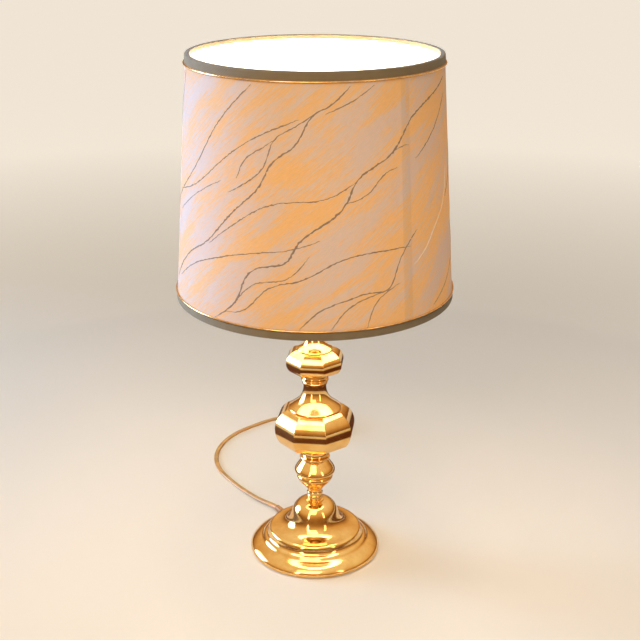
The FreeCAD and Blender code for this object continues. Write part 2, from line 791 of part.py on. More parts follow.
def make_switch_and_clamp():
    """The bar that is pushed through the lampholder, and the ring that clamps the shade."""
    bar_z = holder_z + bar_rise
    start = V(-(bar_length + bar_travel) / 2, bar_offset_y, bar_z)
    bar = Part.makeCylinder(bar_radius, bar_length, start, V(1, 0, 0))
    left = Part.makeCylinder(bar_button_radius, bar_button_length, start, V(1, 0, 0))
    right_start = start.add(V(bar_length - bar_button_length, 0, 0))
    right = Part.makeCylinder(bar_button_radius, bar_button_length, right_start, V(1, 0, 0))
    save("switch_bar", bar.fuse([left, right]).removeSplitter())
    save("clamp_ring", grip_ring(thread_radius + running_gap, clamp_ring_z))


def bulb_cap_solid():
    """The bulb's thin metal screw cap, with its rounded thread as turned waves."""
    base = bulb_z + bulb_contact_height + bulb_insulator_height
    root = bulb_cap_radius - bulb_thread_depth
    outside = [V(root, 0, base)]
    for k in range(bulb_thread_turns * 2 + 1):
        outside.append(V(root if k % 2 == 0 else bulb_cap_radius, 0, base + (k + 1) * bulb_thread_pitch / 2))
    top = base + bulb_cap_height
    edges = [stroke_edge(outside), stroke_edge([outside[-1], V(root, 0, top)])]
    inner = root - bulb_cap_wall
    edges.append(stroke_edge([V(root, 0, top), V(inner, 0, top)]))
    edges.append(stroke_edge([V(inner, 0, top), V(inner, 0, base)]))
    edges.append(stroke_edge([V(inner, 0, base), outside[0]]))
    return revolve(edges), inner, top


def make_bulb():
    """Contact, insulator, screw cap, glass, stem, wires and filament."""
    cap, inner, cap_top = bulb_cap_solid()
    save("bulb_cap", cap)
    save("bulb_contact", tube(bulb_contact_radius, 0, bulb_z, bulb_contact_height))
    cone_z = bulb_z + bulb_contact_height
    rim_radius = bulb_cap_radius - bulb_thread_depth
    cone = Part.makeCone(bulb_contact_radius, rim_radius, bulb_insulator_height, V(0, 0, cone_z))
    save("bulb_insulator", cone)
    neck_z = cap_top - bulb_thread_pitch
    neck_share = (inner - seat_gap) / bulb_radius
    glass_shares = [[(min(r, neck_share), z) if z < 0.1 else (r, z) for r, z in s] for s in bulb_shares]
    glass_height = bulb_z + bulb_height - neck_z
    glass = bulb_glass(glass_shares, neck_z, glass_height)
    save("bulb_glass", glass)
    stem_z = neck_z
    foot = inner - seat_gap - bulb_glass_wall - seat_gap
    stem_points = [
        V(0, 0, stem_z),
        V(foot, 0, stem_z),
        V(foot, 0, stem_z + bulb_glass_wall),
        V(bulb_stem_radius, 0, stem_z + bulb_stem_height * stem_taper_share),
        V(bulb_stem_radius, 0, stem_z + bulb_stem_height),
        V(0, 0, stem_z + bulb_stem_height),
    ]
    save("bulb_stem", revolve(closed_loop(stem_points)))
    wire_z = stem_z + bulb_stem_height + seat_gap + bulb_wire_radius / 2
    wires = []
    for sign in (-1, 1):
        low = V(sign * bulb_stem_radius / 2, 0, wire_z)
        high = V(sign * filament_half_width, 0, wire_z + bulb_wire_height)
        wires.append(Part.makeCylinder(bulb_wire_radius, low.distanceToPoint(high), low, high.sub(low)))
    save("bulb_wires", *wires)
    save("filament", filament(wire_z + bulb_wire_height + filament_radius + seat_gap))


def bulb_glass(shares, base_z, height):
    """The candle-shaped envelope, closed at its tip and open at its neck."""
    outline = scaled_strokes(shares, bulb_radius, base_z, height)
    points = [p for s in outline for p in (s if s is outline[0] else s[1:])]
    inner = inset(points, bulb_glass_wall)
    inner[0] = V(points[0].x - bulb_glass_wall, 0, points[0].z)
    inner[-1] = V(0, 0, points[-1].z - bulb_glass_wall)
    edges = [stroke_edge(s) for s in outline]
    edges += [stroke_edge([points[-1], inner[-1]]), stroke_edge(inner[:0:-1])]
    edges += [stroke_edge([inner[1], inner[0]]), stroke_edge([inner[0], points[0]])]
    return revolve(edges)


def filament(base_z):
    """The coiled filament as the thin bow that it looks like."""
    a, b = V(-filament_half_width, 0, base_z), V(filament_half_width, 0, base_z)
    arc = Part.Arc(a, V(0, 0, base_z + filament_sag), b)
    start_direction = arc.toShape().tangentAt(arc.toShape().FirstParameter)
    section = Part.Wire(Part.makeCircle(filament_radius, a, start_direction))
    return Part.Wire(arc.toShape()).makePipeShell([section], True, True)


def wall_radius(z):
    """The outside radius of the shade's cover at a height."""
    share = (z - shade_bottom_z) / shade_height
    return shade_bottom_radius + (shade_top_radius - shade_bottom_radius) * share


def cone_skin(low_z, high_z, outer_inset, thickness):
    """A thin cone that follows the shade's wall, a distance inside the cover's outside."""
    points = []
    for z, depth in ((low_z, 0), (high_z, 0), (high_z, thickness), (low_z, thickness)):
        points.append(V(wall_radius(z) - outer_inset - depth, 0, z))
    return revolve(closed_loop(points))


def ring_wire(radius, z, wire):
    """A round wire bent into a ring."""
    return Part.makeTorus(radius, wire, V(0, 0, z))


def make_shade():
    """Cover, liner, wire rings, folded bands, piping and the carrier with its arms."""
    low, high = shade_bottom_z + band_thickness + seat_gap, shade_top_z - band_thickness - seat_gap
    save("shade_cover", cone_skin(low, high, 0, cover_thickness))
    liner_inset = cover_thickness + seat_gap / 2
    save("shade_liner", cone_skin(low, high, liner_inset, liner_thickness))
    skin = liner_inset + liner_thickness + seat_gap
    top_wire_z, bottom_wire_z = high - wire_ring_radius, low + wire_ring_radius
    top_wire_radius = wall_radius(top_wire_z) - skin - wire_ring_radius
    bottom_wire_radius = wall_radius(bottom_wire_z) - skin - wire_ring_radius
    save("top_wire_ring", ring_wire(top_wire_radius, top_wire_z, wire_ring_radius))
    save("bottom_wire_ring", ring_wire(bottom_wire_radius, bottom_wire_z, wire_ring_radius))
    save("top_band", band(shade_top_z, -1, top_wire_radius))
    for name, edge_z, way in (("top_piping", shade_top_z, -1), ("bottom_piping", shade_bottom_z, 1)):
        z = edge_z + way * (band_height + piping_radius + seat_gap)
        save(name, ring_wire(wall_radius(z) + piping_radius + seat_gap, z, piping_radius))
    carrier = tube(carrier_radius, carrier_bore_radius, carrier_z, carrier_thickness)
    folded = band(shade_bottom_z, 1, bottom_wire_radius)
    inner_z, reach = carrier_z + carrier_thickness / 2, bottom_wire_radius - wire_ring_radius - seat_gap
    for k in range(arm_count):
        angle = math.radians(arm_start_angle + k * FULL_TURN / arm_count)
        out = V(math.cos(angle), math.sin(angle), 0)
        inner = V(out).multiply(carrier_radius - carrier_thickness / 2).add(V(0, 0, inner_z))
        outer = V(out).multiply(reach).add(V(0, 0, bottom_wire_z))
        run, length = outer.sub(inner), inner.distanceToPoint(outer)
        carrier = carrier.fuse(Part.makeCylinder(arm_radius, length, inner, run))
        slit_start = inner.add(V(run).multiply(slit_start_share))
        slit_length = length * (1 - slit_start_share)
        folded = folded.cut(Part.makeCylinder(arm_radius + seat_gap, slit_length, slit_start, run))
    save("shade_carrier", carrier.removeSplitter())
    save("bottom_band", folded)


def band(edge_z, way, wire_radius):
    """A tape folded over the shade's edge and the wire ring inside it. way is -1 at the top edge."""
    outer_z = edge_z + way * band_height
    inner_z = edge_z + way * band_inner_height
    pocket_z = edge_z + way * band_thickness
    inside = wire_radius - wire_ring_radius - seat_gap
    points = [
        V(wall_radius(outer_z) + seat_gap, 0, outer_z),
        V(wall_radius(outer_z) + seat_gap + band_thickness, 0, outer_z),
        V(wall_radius(edge_z) + seat_gap + band_thickness, 0, edge_z),
        V(inside - band_thickness, 0, edge_z),
        V(inside - band_thickness, 0, inner_z),
        V(inside, 0, inner_z),
        V(inside, 0, pocket_z),
        V(wall_radius(pocket_z) + seat_gap, 0, pocket_z),
    ]
    return revolve(closed_loop(points))


def make_cord():
    """The flex inside the lamp, its sleeve, the free stretch, the coil and the plug."""
    knee = V(exit_dir).multiply(flex_bend_radius).add(V(0, 0, flex_exit_z))
    rise_start = V(0, 0, flex_exit_z + flex_bend_radius)
    slant = flex_bend_radius * (1 - math.cos(math.pi / 4))
    bend_middle = V(exit_dir).multiply(slant).add(V(0, 0, flex_exit_z + slant))
    inner_edges = [
        Part.LineSegment(exit_point, knee).toShape(),
        Part.Arc(knee, bend_middle, rise_start).toShape(),
        Part.LineSegment(rise_start, V(0, 0, tube_top_z)).toShape(),
    ]
    save("inner_flex", sweep(inner_edges, exit_side, False))
    save("flex_sleeve", sleeve())
    straight_out = exit_point.add(V(exit_dir).multiply(flex_width))
    points = [exit_point, straight_out] + [V(*p) for p in flex_route] + [lead_in, coil_entry]
    save("flex_run", sweep(rounded_route(points), exit_side, True))
    heading_side = V(-coil_heading.y, coil_heading.x, 0)
    save("flex_coil", sweep(coil_edges, heading_side, False))
    print("coil turns", round(coil_turns, 2), "least gap to itself", round(least_coil_gap(), 2))
    save("plug_body", plug_body())
    save("plug_pins", *plug_pins())


def sleeve():
    """The tapered bush where the flex leaves the foot, held by a neck in the shell's wall."""
    flange_start = sleeve_start - sleeve_neck_length - sleeve_flange_thickness
    lengths = (
        (sleeve_flange_radius, sleeve_flange_radius, flange_start, sleeve_flange_thickness),
        (sleeve_neck_radius, sleeve_neck_radius, flange_start, sleeve_start - flange_start),
        (sleeve_root_radius, sleeve_tip_radius, sleeve_start, sleeve_length),
    )
    pieces = []
    for r0, r1, start, length in lengths:
        place = V(exit_dir).multiply(start).add(V(0, 0, flex_exit_z))
        if r0 == r1:
            pieces.append(Part.makeCylinder(r0, length, place, exit_dir))
        else:
            pieces.append(Part.makeCone(r0, r1, length, place, exit_dir))
    bush = pieces[0].fuse(pieces[1:]).removeSplitter()
    grow = (flex_width + 2 * seat_gap) / flex_width
    start = V(exit_dir).multiply(flange_start - cut_overrun).add(V(0, 0, flex_exit_z))
    face = Part.Face(flex_section(V(0, 0, 0), exit_dir, exit_side))
    bore = face.extrude(V(exit_dir).multiply(flex_exit_radius - flange_start + 2 * cut_overrun))
    bore.scale(grow)
    bore.translate(start)
    return bush.cut(bore)


def rounded_rectangle(x, width, thickness):
    """The plug's closed outline in the YZ plane at x, with round corners."""
    corner = thickness * plug_corner_share
    half_w, half_t = width / 2, thickness / 2
    inner_w, inner_t = half_w - corner, half_t - corner
    slant = corner * math.cos(math.pi / 4)
    edges = []
    for k, (sy, sz) in enumerate(((1, 1), (-1, 1), (-1, -1), (1, -1))):
        centre = V(x, plug_rear.y + sy * inner_w, plug_axis_z + sz * inner_t)
        side_point, cap_point = centre.add(V(0, sy * corner, 0)), centre.add(V(0, 0, sz * corner))
        first, last = (side_point, cap_point) if k % 2 == 0 else (cap_point, side_point)
        edges.append(Part.Arc(first, centre.add(V(0, sy * slant, sz * slant)), last).toShape())
        if k:
            edges.insert(-1, Part.LineSegment(end, first).toShape())
        end = last
    start = edges[0].valueAt(edges[0].FirstParameter)
    edges.append(Part.LineSegment(end, start).toShape())
    return Part.Wire(edges)


def plug_body():
    """A flat two-pin plug that narrows to its flex."""
    stations = (
        (0, plug_tip_width, plug_tip_thickness),
        (plug_tail_length, plug_rear_width, plug_rear_thickness),
        (plug_tail_length + plug_body_length / 2, plug_width, plug_thickness),
        (plug_tail_length + plug_body_length, plug_width, plug_thickness),
    )
    wires = [rounded_rectangle(plug_rear.x - run, width, thickness) for run, width, thickness in stations]
    return Part.makeLoft(wires, True, True)


def plug_pins():
    """Two round pins with tapered tips."""
    face_x = plug_rear.x - plug_tail_length - plug_body_length
    straight = pin_length - pin_radius
    pins = []
    for sign in (-1, 1):
        place = V(face_x, plug_rear.y + sign * pin_spacing / 2, plug_axis_z)
        pin = Part.makeCylinder(pin_radius, straight, place, plug_heading)
        tip_place = place.add(V(plug_heading).multiply(straight))
        tip = Part.makeCone(pin_radius, pin_radius * pin_tip_share, pin_radius, tip_place, plug_heading)
        pins.append(pin.fuse(tip).removeSplitter())
    return pins


make_foot()
make_column()
make_lampholder()
make_switch_and_clamp()
make_bulb()
make_shade()
make_cord()
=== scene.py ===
"""A brass table lamp: turned stem with two octagonal knops, marbled drum shade and flat twin flex.

Every piece is placed from the fixed frame, in metres, +Z up, with the front of the lamp facing -Y.
"""

import logging
import math
import random
from dataclasses import dataclass
from enum import Enum
from functools import cached_property
from typing import Sequence

import bmesh
import bpy
from mathutils import Matrix, Vector, noise

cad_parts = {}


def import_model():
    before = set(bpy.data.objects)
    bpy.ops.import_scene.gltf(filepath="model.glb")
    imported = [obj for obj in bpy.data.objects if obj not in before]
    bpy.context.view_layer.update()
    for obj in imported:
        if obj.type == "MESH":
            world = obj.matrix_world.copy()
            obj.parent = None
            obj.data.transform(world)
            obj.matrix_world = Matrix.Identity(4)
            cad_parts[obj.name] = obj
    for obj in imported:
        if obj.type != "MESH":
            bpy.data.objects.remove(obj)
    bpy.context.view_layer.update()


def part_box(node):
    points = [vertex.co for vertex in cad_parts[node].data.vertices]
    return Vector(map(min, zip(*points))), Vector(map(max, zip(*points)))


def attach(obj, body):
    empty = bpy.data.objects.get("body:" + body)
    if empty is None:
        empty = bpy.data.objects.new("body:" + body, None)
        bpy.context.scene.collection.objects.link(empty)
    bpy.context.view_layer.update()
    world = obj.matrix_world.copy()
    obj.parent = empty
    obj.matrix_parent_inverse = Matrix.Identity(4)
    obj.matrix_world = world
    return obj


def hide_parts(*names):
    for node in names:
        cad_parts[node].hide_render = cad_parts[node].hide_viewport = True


LOG = logging.getLogger("table_lamp")
MM = 0.001
TURN = 2 * math.pi
BAND = TURN / 20  # the wave texture lays 20 bands in a length of TURN
FRONT = -math.pi / 2  # the angle about the Z axis at which the lamp's front lies
CORNER_LIMIT = 2.2  # a corner is rounded over at most the distance to the next one divided by this
SEAM_ANGLE = math.radians(-50.5)  # where the middle of the shade's lap lies
SHADE_RADIUS = 140.0 * MM  # at which the shade's patterns and veins are laid out flat

Share = tuple[float, float]
Stroke = tuple[Share, ...]
Colour = tuple[float, float, float, float]
Place = tuple[float, float, float]
Tree = bpy.types.NodeTree
Socket = bpy.types.NodeSocket
Object = bpy.types.Object
Inputs = dict[str | int, object]
Face = tuple[int, ...]


def linear(code: str) -> Colour:
    """Turns an sRGB colour into Blender's linear one.

    Args:
        code: a hash sign and six hex digits.

    Returns:
        Red, green, blue and full alpha.
    """
    values = [int(code[k : k + 2], 16) / 255 for k in (1, 3, 5)]
    # The straight and the curved part of the sRGB standard
    red, green, blue = (v / 12.92 if v <= 0.04045 else ((v + 0.055) / 1.055) ** 2.4 for v in values)
    return (red, green, blue, 1.0)


def feed(node: bpy.types.Node, inputs: Inputs) -> None:
    """Links each socket and sets each plain value on a node's inputs.

    Args:
        node: the node.
        inputs: a value, or the output socket to link, for each input.
    """
    for key, value in inputs.items():
        if isinstance(value, Socket):
            node.id_data.links.new(value, node.inputs[key])
        else:
            node.inputs[key].default_value = value


def add_node(
    tree: Tree,
    kind: str,
    inputs: Inputs | None = None,
    stops: Sequence = (),
    output: str | int = 0,
    **settings,
) -> Socket | None:
    """Adds a shader node with its settings, links, values and ramp stops.

    Args:
        tree: the node tree.
        kind: the node's type, without Blender's prefix ShaderNode.
        inputs: a value, or the output socket to link, for each input.
        stops: (position, hex colour) pairs for a colour ramp, in order.
        output: the name or number of the output that is wanted.
        settings: the node's own properties.

    Returns:
        That output, or None for a node without outputs.
    """
    node = tree.nodes.new("ShaderNode" + kind)
    for key, value in settings.items():
        setattr(node, key, value)
    feed(node, inputs or {})
    for k, (position, code) in enumerate(stops):
        elements = node.color_ramp.elements
        element = elements[k] if k < 2 else elements.new(position)  # a new ramp has two stops
        element.position = position
        element.color = linear(code)
    return node.outputs[output] if node.outputs else None


def per_metre(size_mm: float) -> float:
    """How many patches of so many millimetres fit in a metre."""
    return 1 / (size_mm * MM)


def ranges(to: Share, source: Share = (0.0, 1.0)) -> Inputs:
    """The values that take one range to another."""
    return {"From Min": source[0], "From Max": source[1], "To Min": to[0], "To Max": to[1]}


def unrolled(tree: Tree, place: Socket, radius: float) -> Socket:
    """Lays a round wall flat.

    Args:
        tree: the node tree.
        place: the object coordinates.
        radius: the wall's radius.

    Returns:
        A vector whose X runs round the wall and whose Y runs up it, in metres.
    """
    x, y, z = add_node(tree, "SeparateXYZ", {"Vector": place}).node.outputs
    angle = add_node(tree, "Math", {0: y, 1: x}, operation="ARCTAN2")
    around = add_node(tree, "Math", {0: angle, 1: radius}, operation="MULTIPLY")
    return add_node(tree, "CombineXYZ", {"X": around, "Y": z})


class Ray(Enum):
    """What looks at a surface, by the Light Path node's names."""

    CAMERA = "Is Camera Ray"
    GLOSSY = "Is Glossy Ray"
    TRANSMISSION = "Is Transmission Ray"


def seen_by(tree: Tree, *rays: Ray) -> Socket:
    """Picks out the rays that look at a surface.

    Args:
        tree: the node tree.
        rays: the kinds of ray that count.

    Returns:
        1 where any of them looks, else 0.
    """
    first, *others = (add_node(tree, "LightPath", output=ray.value) for ray in rays)
    for other in others:
        first = add_node(tree, "Math", {0: first, 1: other}, operation="MAXIMUM")
    return first


@dataclass(frozen=True)
class Finish:
    """One finish: the base of every material on the lamp.

    Attributes:
        title: the material's name.
        hex_colour: its main colour in sRGB.
        metallic: 1 for bare metal, else 0.
        roughness: how much it spreads a highlight.
    """

    title: str = "plain"
    hex_colour: str = "#808080"
    metallic: float = 0.0
    roughness: float = 0.5

    def material(self) -> bpy.types.Material:
        """Builds the material once and hands out the same one afterwards.

        Returns:
            The material.
        """
        known = bpy.data.materials.get(self.title)
        if known:
            return known
        made = bpy.data.materials.new(self.title)
        made.use_nodes = True
        tree = made.node_tree
        tree.nodes.clear()
        colour = linear(self.hex_colour)
        plain = {"Base Color": colour, "Metallic": self.metallic, "Roughness": self.roughness}
        shader = add_node(tree, "BsdfPrincipled", plain)
        feed(shader.node, self.pattern(tree, add_node(tree, "TexCoord", output="Object")))
        add_node(tree, "OutputMaterial", {"Surface": shader})
        return made

    def pattern(self, tree: Tree, place: Socket) -> Inputs:
        """What this finish adds to the shader. The base adds nothing.

        Args:
            tree: the material's node tree.
            place: the object coordinates.

        Returns:
            A socket or a value for each of the shader's inputs.
        """
        return {}


@dataclass(frozen=True)
class PolishedBrass(Finish):
    """Brass, spun or cast, buffed and lacquered.

    The eye gets a warm mirror, slightly softened by the lacquer, with faint rings where the
    buffing wheel went round and darker gold in the cloudy spots.
    """

    title: str = "lacquered_polished_brass"
    hex_colour: str = "#F2C880"
    cloud_hex: str = "#E6B264"
    metallic: float = 1.0
    roughness: float = 0.10
    spread: Share = (0.75, 1.5)  # shares of the roughness where it is clean and where it is dull
    cloud_mm: float = 22.0
    cloud_edges: Share = (0.35, 0.62)
    tarnish_mm: float = 3.0
    tarnish_edges: Share = (0.3, 0.75)
    ring_mm: float = 2.2  # real buffing rings are near 0.2 mm, drawn coarser so that they show
    ring_height_mm: float = 0.004

    def pattern(self, tree: Tree, place: Socket) -> Inputs:
        """Clouds the colour and roughness and cuts the faint rings.

        Args:
            tree: the material's node tree.
            place: the object coordinates.

        Returns:
            A socket or a value for each input.
        """
        clouds = {"Vector": place, "Scale": per_metre(self.cloud_mm), "Detail": 3.0}
        cloud = add_node(tree, "TexNoise", clouds)
        tarnish = {"Vector": place, "Scale": per_metre(self.tarnish_mm), "Detail": 4.0}
        spots = add_node(tree, "TexNoise", tarnish)
        buffed = {"Vector": place, "Scale": BAND * per_metre(self.ring_mm), "Distortion": 1.2}
        rings = add_node(tree, "TexWave", buffed, output="Fac", wave_type="BANDS", bands_direction="Z")
        dark_end, light_start = self.cloud_edges
        stops = ((dark_end, self.cloud_hex), (light_start, self.hex_colour))
        dull = (self.roughness * self.spread[0], self.roughness * self.spread[1])
        raised = {"Height": rings, "Distance": self.ring_height_mm * MM, "Strength": 0.5}
        return {
            "Base Color": add_node(tree, "ValToRGB", {"Fac": cloud}, stops),
            "Roughness": add_node(tree, "MapRange", {"Value": spots, **ranges(dull, self.tarnish_edges)}),
            "Normal": add_node(tree, "Bump", raised),
        }


@dataclass(frozen=True)
class GrainedSolid(Finish):
    """A solid with a fine grain in its surface and a slightly mottled colour.

    Attributes:
        second_hex: the colour that the mottling runs to.
        grain_mm: the size of one grain.
        grain_height_mm: how deep the grain is.
        mottle_mm: the size of the mottled patches.
        coat: a clear skin over it, as glaze or a moulded gloss.
        subsurface: how far light soaks in, as in soft PVC.
        mottle_edges: where the mottling starts and ends in the noise.
        spread: shares of the roughness in the grain's dips and on its tops.
    """

    second_hex: str = "#808080"
    grain_mm: float = 0.8
    grain_height_mm: float = 0.03
    mottle_mm: float = 8.0
    coat: float = 0.0
    subsurface: float = 0.0
    mottle_edges: Share = (0.34, 0.66)
    spread: Share = (0.85, 1.15)

    def pattern(self, tree: Tree, place: Socket) -> Inputs:
        """Mottles the colour and raises the grain.

        Args:
            tree: the material's node tree.
            place: the object coordinates.

        Returns:
            A socket or a value for each input.
        """
        patches = {"Vector": place, "Scale": per_metre(self.mottle_mm), "Detail": 4.0}
        mottle = add_node(tree, "TexNoise", patches)
        grain = add_node(tree, "TexNoise", {"Vector": place, "Scale": per_metre(self.grain_mm)})
        dark_end, light_start = self.mottle_edges
        stops = ((dark_end, self.second_hex), (light_start, self.hex_colour))
        dull = (self.roughness * self.spread[0], self.roughness * self.spread[1])
        raised = {"Height": grain, "Distance": self.grain_height_mm * MM, "Strength": 0.6}
        return {
            "Base Color": add_node(tree, "ValToRGB", {"Fac": mottle}, stops),
            "Roughness": add_node(tree, "MapRange", {"Value": grain, **ranges(dull)}),
            "Normal": add_node(tree, "Bump", raised),
            "Coat Weight": self.coat,
            "Subsurface Weight": self.subsurface,
            "Subsurface Scale": MM,
        }


@dataclass(frozen=True)
class MarbledJacquard(Finish):
    """Woven polyester jacquard, laminated on the shade's film and lit from behind.

    Grey-lilac floats lie over a peach ground in long slanting brush marks, and the bulb's
    light comes through the ground more than through the floats.
    """

    title: str = "marbled_jacquard_cover"
    hex_colour: str = "#BFB8B8"
    peach_hex: str = "#C9AA86"
    glow_hex: str = "#FFA63C"
    float_glow_hex: str = "#DE9A62"
    roughness: float = 0.82
    slope: float = 0.66  # radians above level that the marks run, up to the right
    patch_mm: float = 27.0
    patch_stretch: float = 3.6
    mark_mm: float = 2.2
    mark_stretch: float = 12.0
    mark_share: float = 0.5  # of the marks in the mix with the patches
    ground_edges: Share = (0.43, 0.57)
    thread_mm: float = 1.0  # real threads are near 0.25 mm, drawn coarser so that they show
    thread_stretch: float = 7.0
    thread_height_mm: float = 0.12
    thread_edges: Share = (0.35, 0.65)
    thread_light: Share = (0.76, 1.12)  # shares of the light in the dips and on the threads
    rib_share: float = 0.35
    glow_strength: float = 0.40
    edge_share: float = 0.55  # of the light at the shade's two edges
    lap_mm: float = 10.0  # the lap's dark strip, half a millimetre past the cloth at either side
    lap_share: float = 0.78  # of the light that comes through the two layers of the lap
    middle_z: float = 0.43
    reach_z: float = 0.20
    radius: float = SHADE_RADIUS
    seam_angle: float = SEAM_ANGLE

    def pattern(self, tree: Tree, place: Socket) -> Inputs:
        """Lays the patches, brush marks and threads, and lets the bulb shine through.

        Args:
            tree: the material's node tree.
            place: the object coordinates.

        Returns:
            A socket or a value for each input.
        """
        opposite = {"Vector": place, "Angle": math.pi - self.seam_angle}
        flat = unrolled(tree, add_node(tree, "VectorRotate", opposite, rotation_type="Z_AXIS"), self.radius)
        broad = {"Vector": self.slanted(tree, flat, self.patch_stretch), "Scale": per_metre(self.patch_mm)}
        fine = {"Vector": self.slanted(tree, flat, self.mark_stretch), "Scale": per_metre(self.mark_mm)}
        patch = add_node(tree, "TexNoise", {**broad, "Detail": 3.0, "Roughness": 0.55, "Distortion": 0.35})
        marks = add_node(tree, "TexNoise", {**fine, "Detail": 4.0, "Roughness": 0.7})
        both = {"Factor": self.mark_share, "A": patch, "B": marks}
        mixed = add_node(tree, "Mix", both, output="Result", data_type="FLOAT")
        parted = {"Value": mixed, **ranges((0.0, 1.0), self.ground_edges)}
        ground = add_node(tree, "MapRange", parted, interpolation_type="SMOOTHSTEP")
        threads = self.weave(tree, flat)
        cloth = {"Factor": ground, "A": linear(self.hex_colour), "B": linear(self.peach_hex)}
        light = {"Factor": ground, "A": linear(self.float_glow_hex), "B": linear(self.glow_hex)}
        raised = {"Height": threads, "Distance": self.thread_height_mm * MM, "Strength": 0.7}
        return {
            "Base Color": add_node(tree, "Mix", cloth, output="Result", data_type="RGBA"),
            "Emission Color": add_node(tree, "Mix", light, output="Result", data_type="RGBA"),
            "Emission Strength": self.shine(tree, place, flat, threads),
            "Normal": add_node(tree, "Bump", raised),
            "Sheen Weight": 0.12,
            "Sheen Roughness": 0.5,
            "Specular IOR Level": 0.25,
        }

    def slanted(self, tree: Tree, flat: Socket, stretch: float) -> Socket:
        """The flat cloth turned so that X runs along the marks, and squeezed along it.

        Args:
            tree: the material's node tree.
            flat: the unrolled cloth.
            stretch: how much longer than wide a mark is.

        Returns:
            The turned and squeezed vector.
        """
        level = {"Vector": flat, "Angle": -self.slope}
        turned = add_node(tree, "VectorRotate", level, rotation_type="Z_AXIS")
        return add_node(tree, "VectorMath", {0: turned, 1: (1 / stretch, 1.0, 1.0)}, operation="MULTIPLY")

    def weave(self, tree: Tree, flat: Socket) -> Socket:
        """Crosses slanting floats with a fine level rib.

        Args:
            tree: the material's node tree.
            flat: the unrolled cloth.

        Returns:
            The height of the threads, from 0 to 1.
        """
        along = {"Vector": self.slanted(tree, flat, self.thread_stretch), "Scale": per_metre(self.thread_mm)}
        floats = add_node(tree, "TexNoise", along)
        across = {"Vector": flat, "Scale": BAND * per_metre(self.thread_mm), "Distortion": 2.0, "Detail": 1.0}
        rib = add_node(tree, "TexWave", across, output="Fac", wave_type="BANDS", bands_direction="Y")
        both = {"Factor": self.rib_share, "A": floats, "B": rib}
        return add_node(tree, "Mix", both, output="Result", data_type="FLOAT")

    def shine(self, tree: Tree, place: Socket, flat: Socket, threads: Socket) -> Socket:
        """The strength of the light through the cloth.

        Args:
            tree: the material's node tree.
            place: the object coordinates.
            flat: the unrolled cloth, whose X is 0 opposite the seam.
            threads: the height of the weave.

        Returns:
            The strength, less at both edges, between the threads and in the lap.
        """
        height = add_node(tree, "SeparateXYZ", {"Vector": place}, output="Z")
        above = add_node(tree, "Math", {0: height, 1: self.middle_z}, operation="SUBTRACT")
        away = add_node(tree, "Math", {0: above, 1: self.reach_z}, operation="DIVIDE")
        squared = add_node(tree, "Math", {0: away, 1: 2.0}, operation="POWER")
        levels = (self.glow_strength, self.glow_strength * self.edge_share)
        fade = add_node(tree, "MapRange", {"Value": squared, **ranges(levels)})
        woven = {"Value": threads, **ranges(self.thread_light, self.thread_edges)}
        between = add_node(tree, "MapRange", woven)
        through = add_node(tree, "Math", {0: fade, 1: between}, operation="MULTIPLY")
        around = add_node(tree, "SeparateXYZ", {"Vector": flat}, output="X")
        distance = add_node(tree, "Math", {0: around}, operation="ABSOLUTE")
        lap_start = math.pi * self.radius - self.lap_mm * MM / 2
        lapped = {"Value": distance, **ranges((1.0, self.lap_share), (lap_start - MM, lap_start))}
        behind = add_node(tree, "MapRange", lapped)
        return add_node(tree, "Math", {0: through, 1: behind}, operation="MULTIPLY")


@dataclass(frozen=True)
class LitFilm(Finish):
    """Film, opal glass or yarn with the bulb's light in it: smooth, and brighter than its colour.

    Attributes:
        glow: strength of the light that comes off it.
        glow_hex: colour of that light.
        patch_mm: size of the faintly uneven patches.
        unevenness: how much weaker or stronger a patch is, as a share of the glow.
    """

    glow: float = 1.0
    glow_hex: str = "#FFFBF4"
    patch_mm: float = 30.0
    unevenness: float = 0.08

    def pattern(self, tree: Tree, place: Socket) -> Inputs:
        """Makes it shine, with a faint unevenness.

        Args:
            tree: the material's node tree.
            place: the object coordinates.

        Returns:
            A socket or a value for each input.
        """
        patches = add_node(tree, "TexNoise", {"Vector": place, "Scale": per_metre(self.patch_mm)})
        levels = (self.glow * (1 - self.unevenness), self.glow * (1 + self.unevenness))
        level = add_node(tree, "MapRange", {"Value": patches, **ranges(levels)})
        return {"Emission Color": linear(self.glow_hex), "Emission Strength": level}


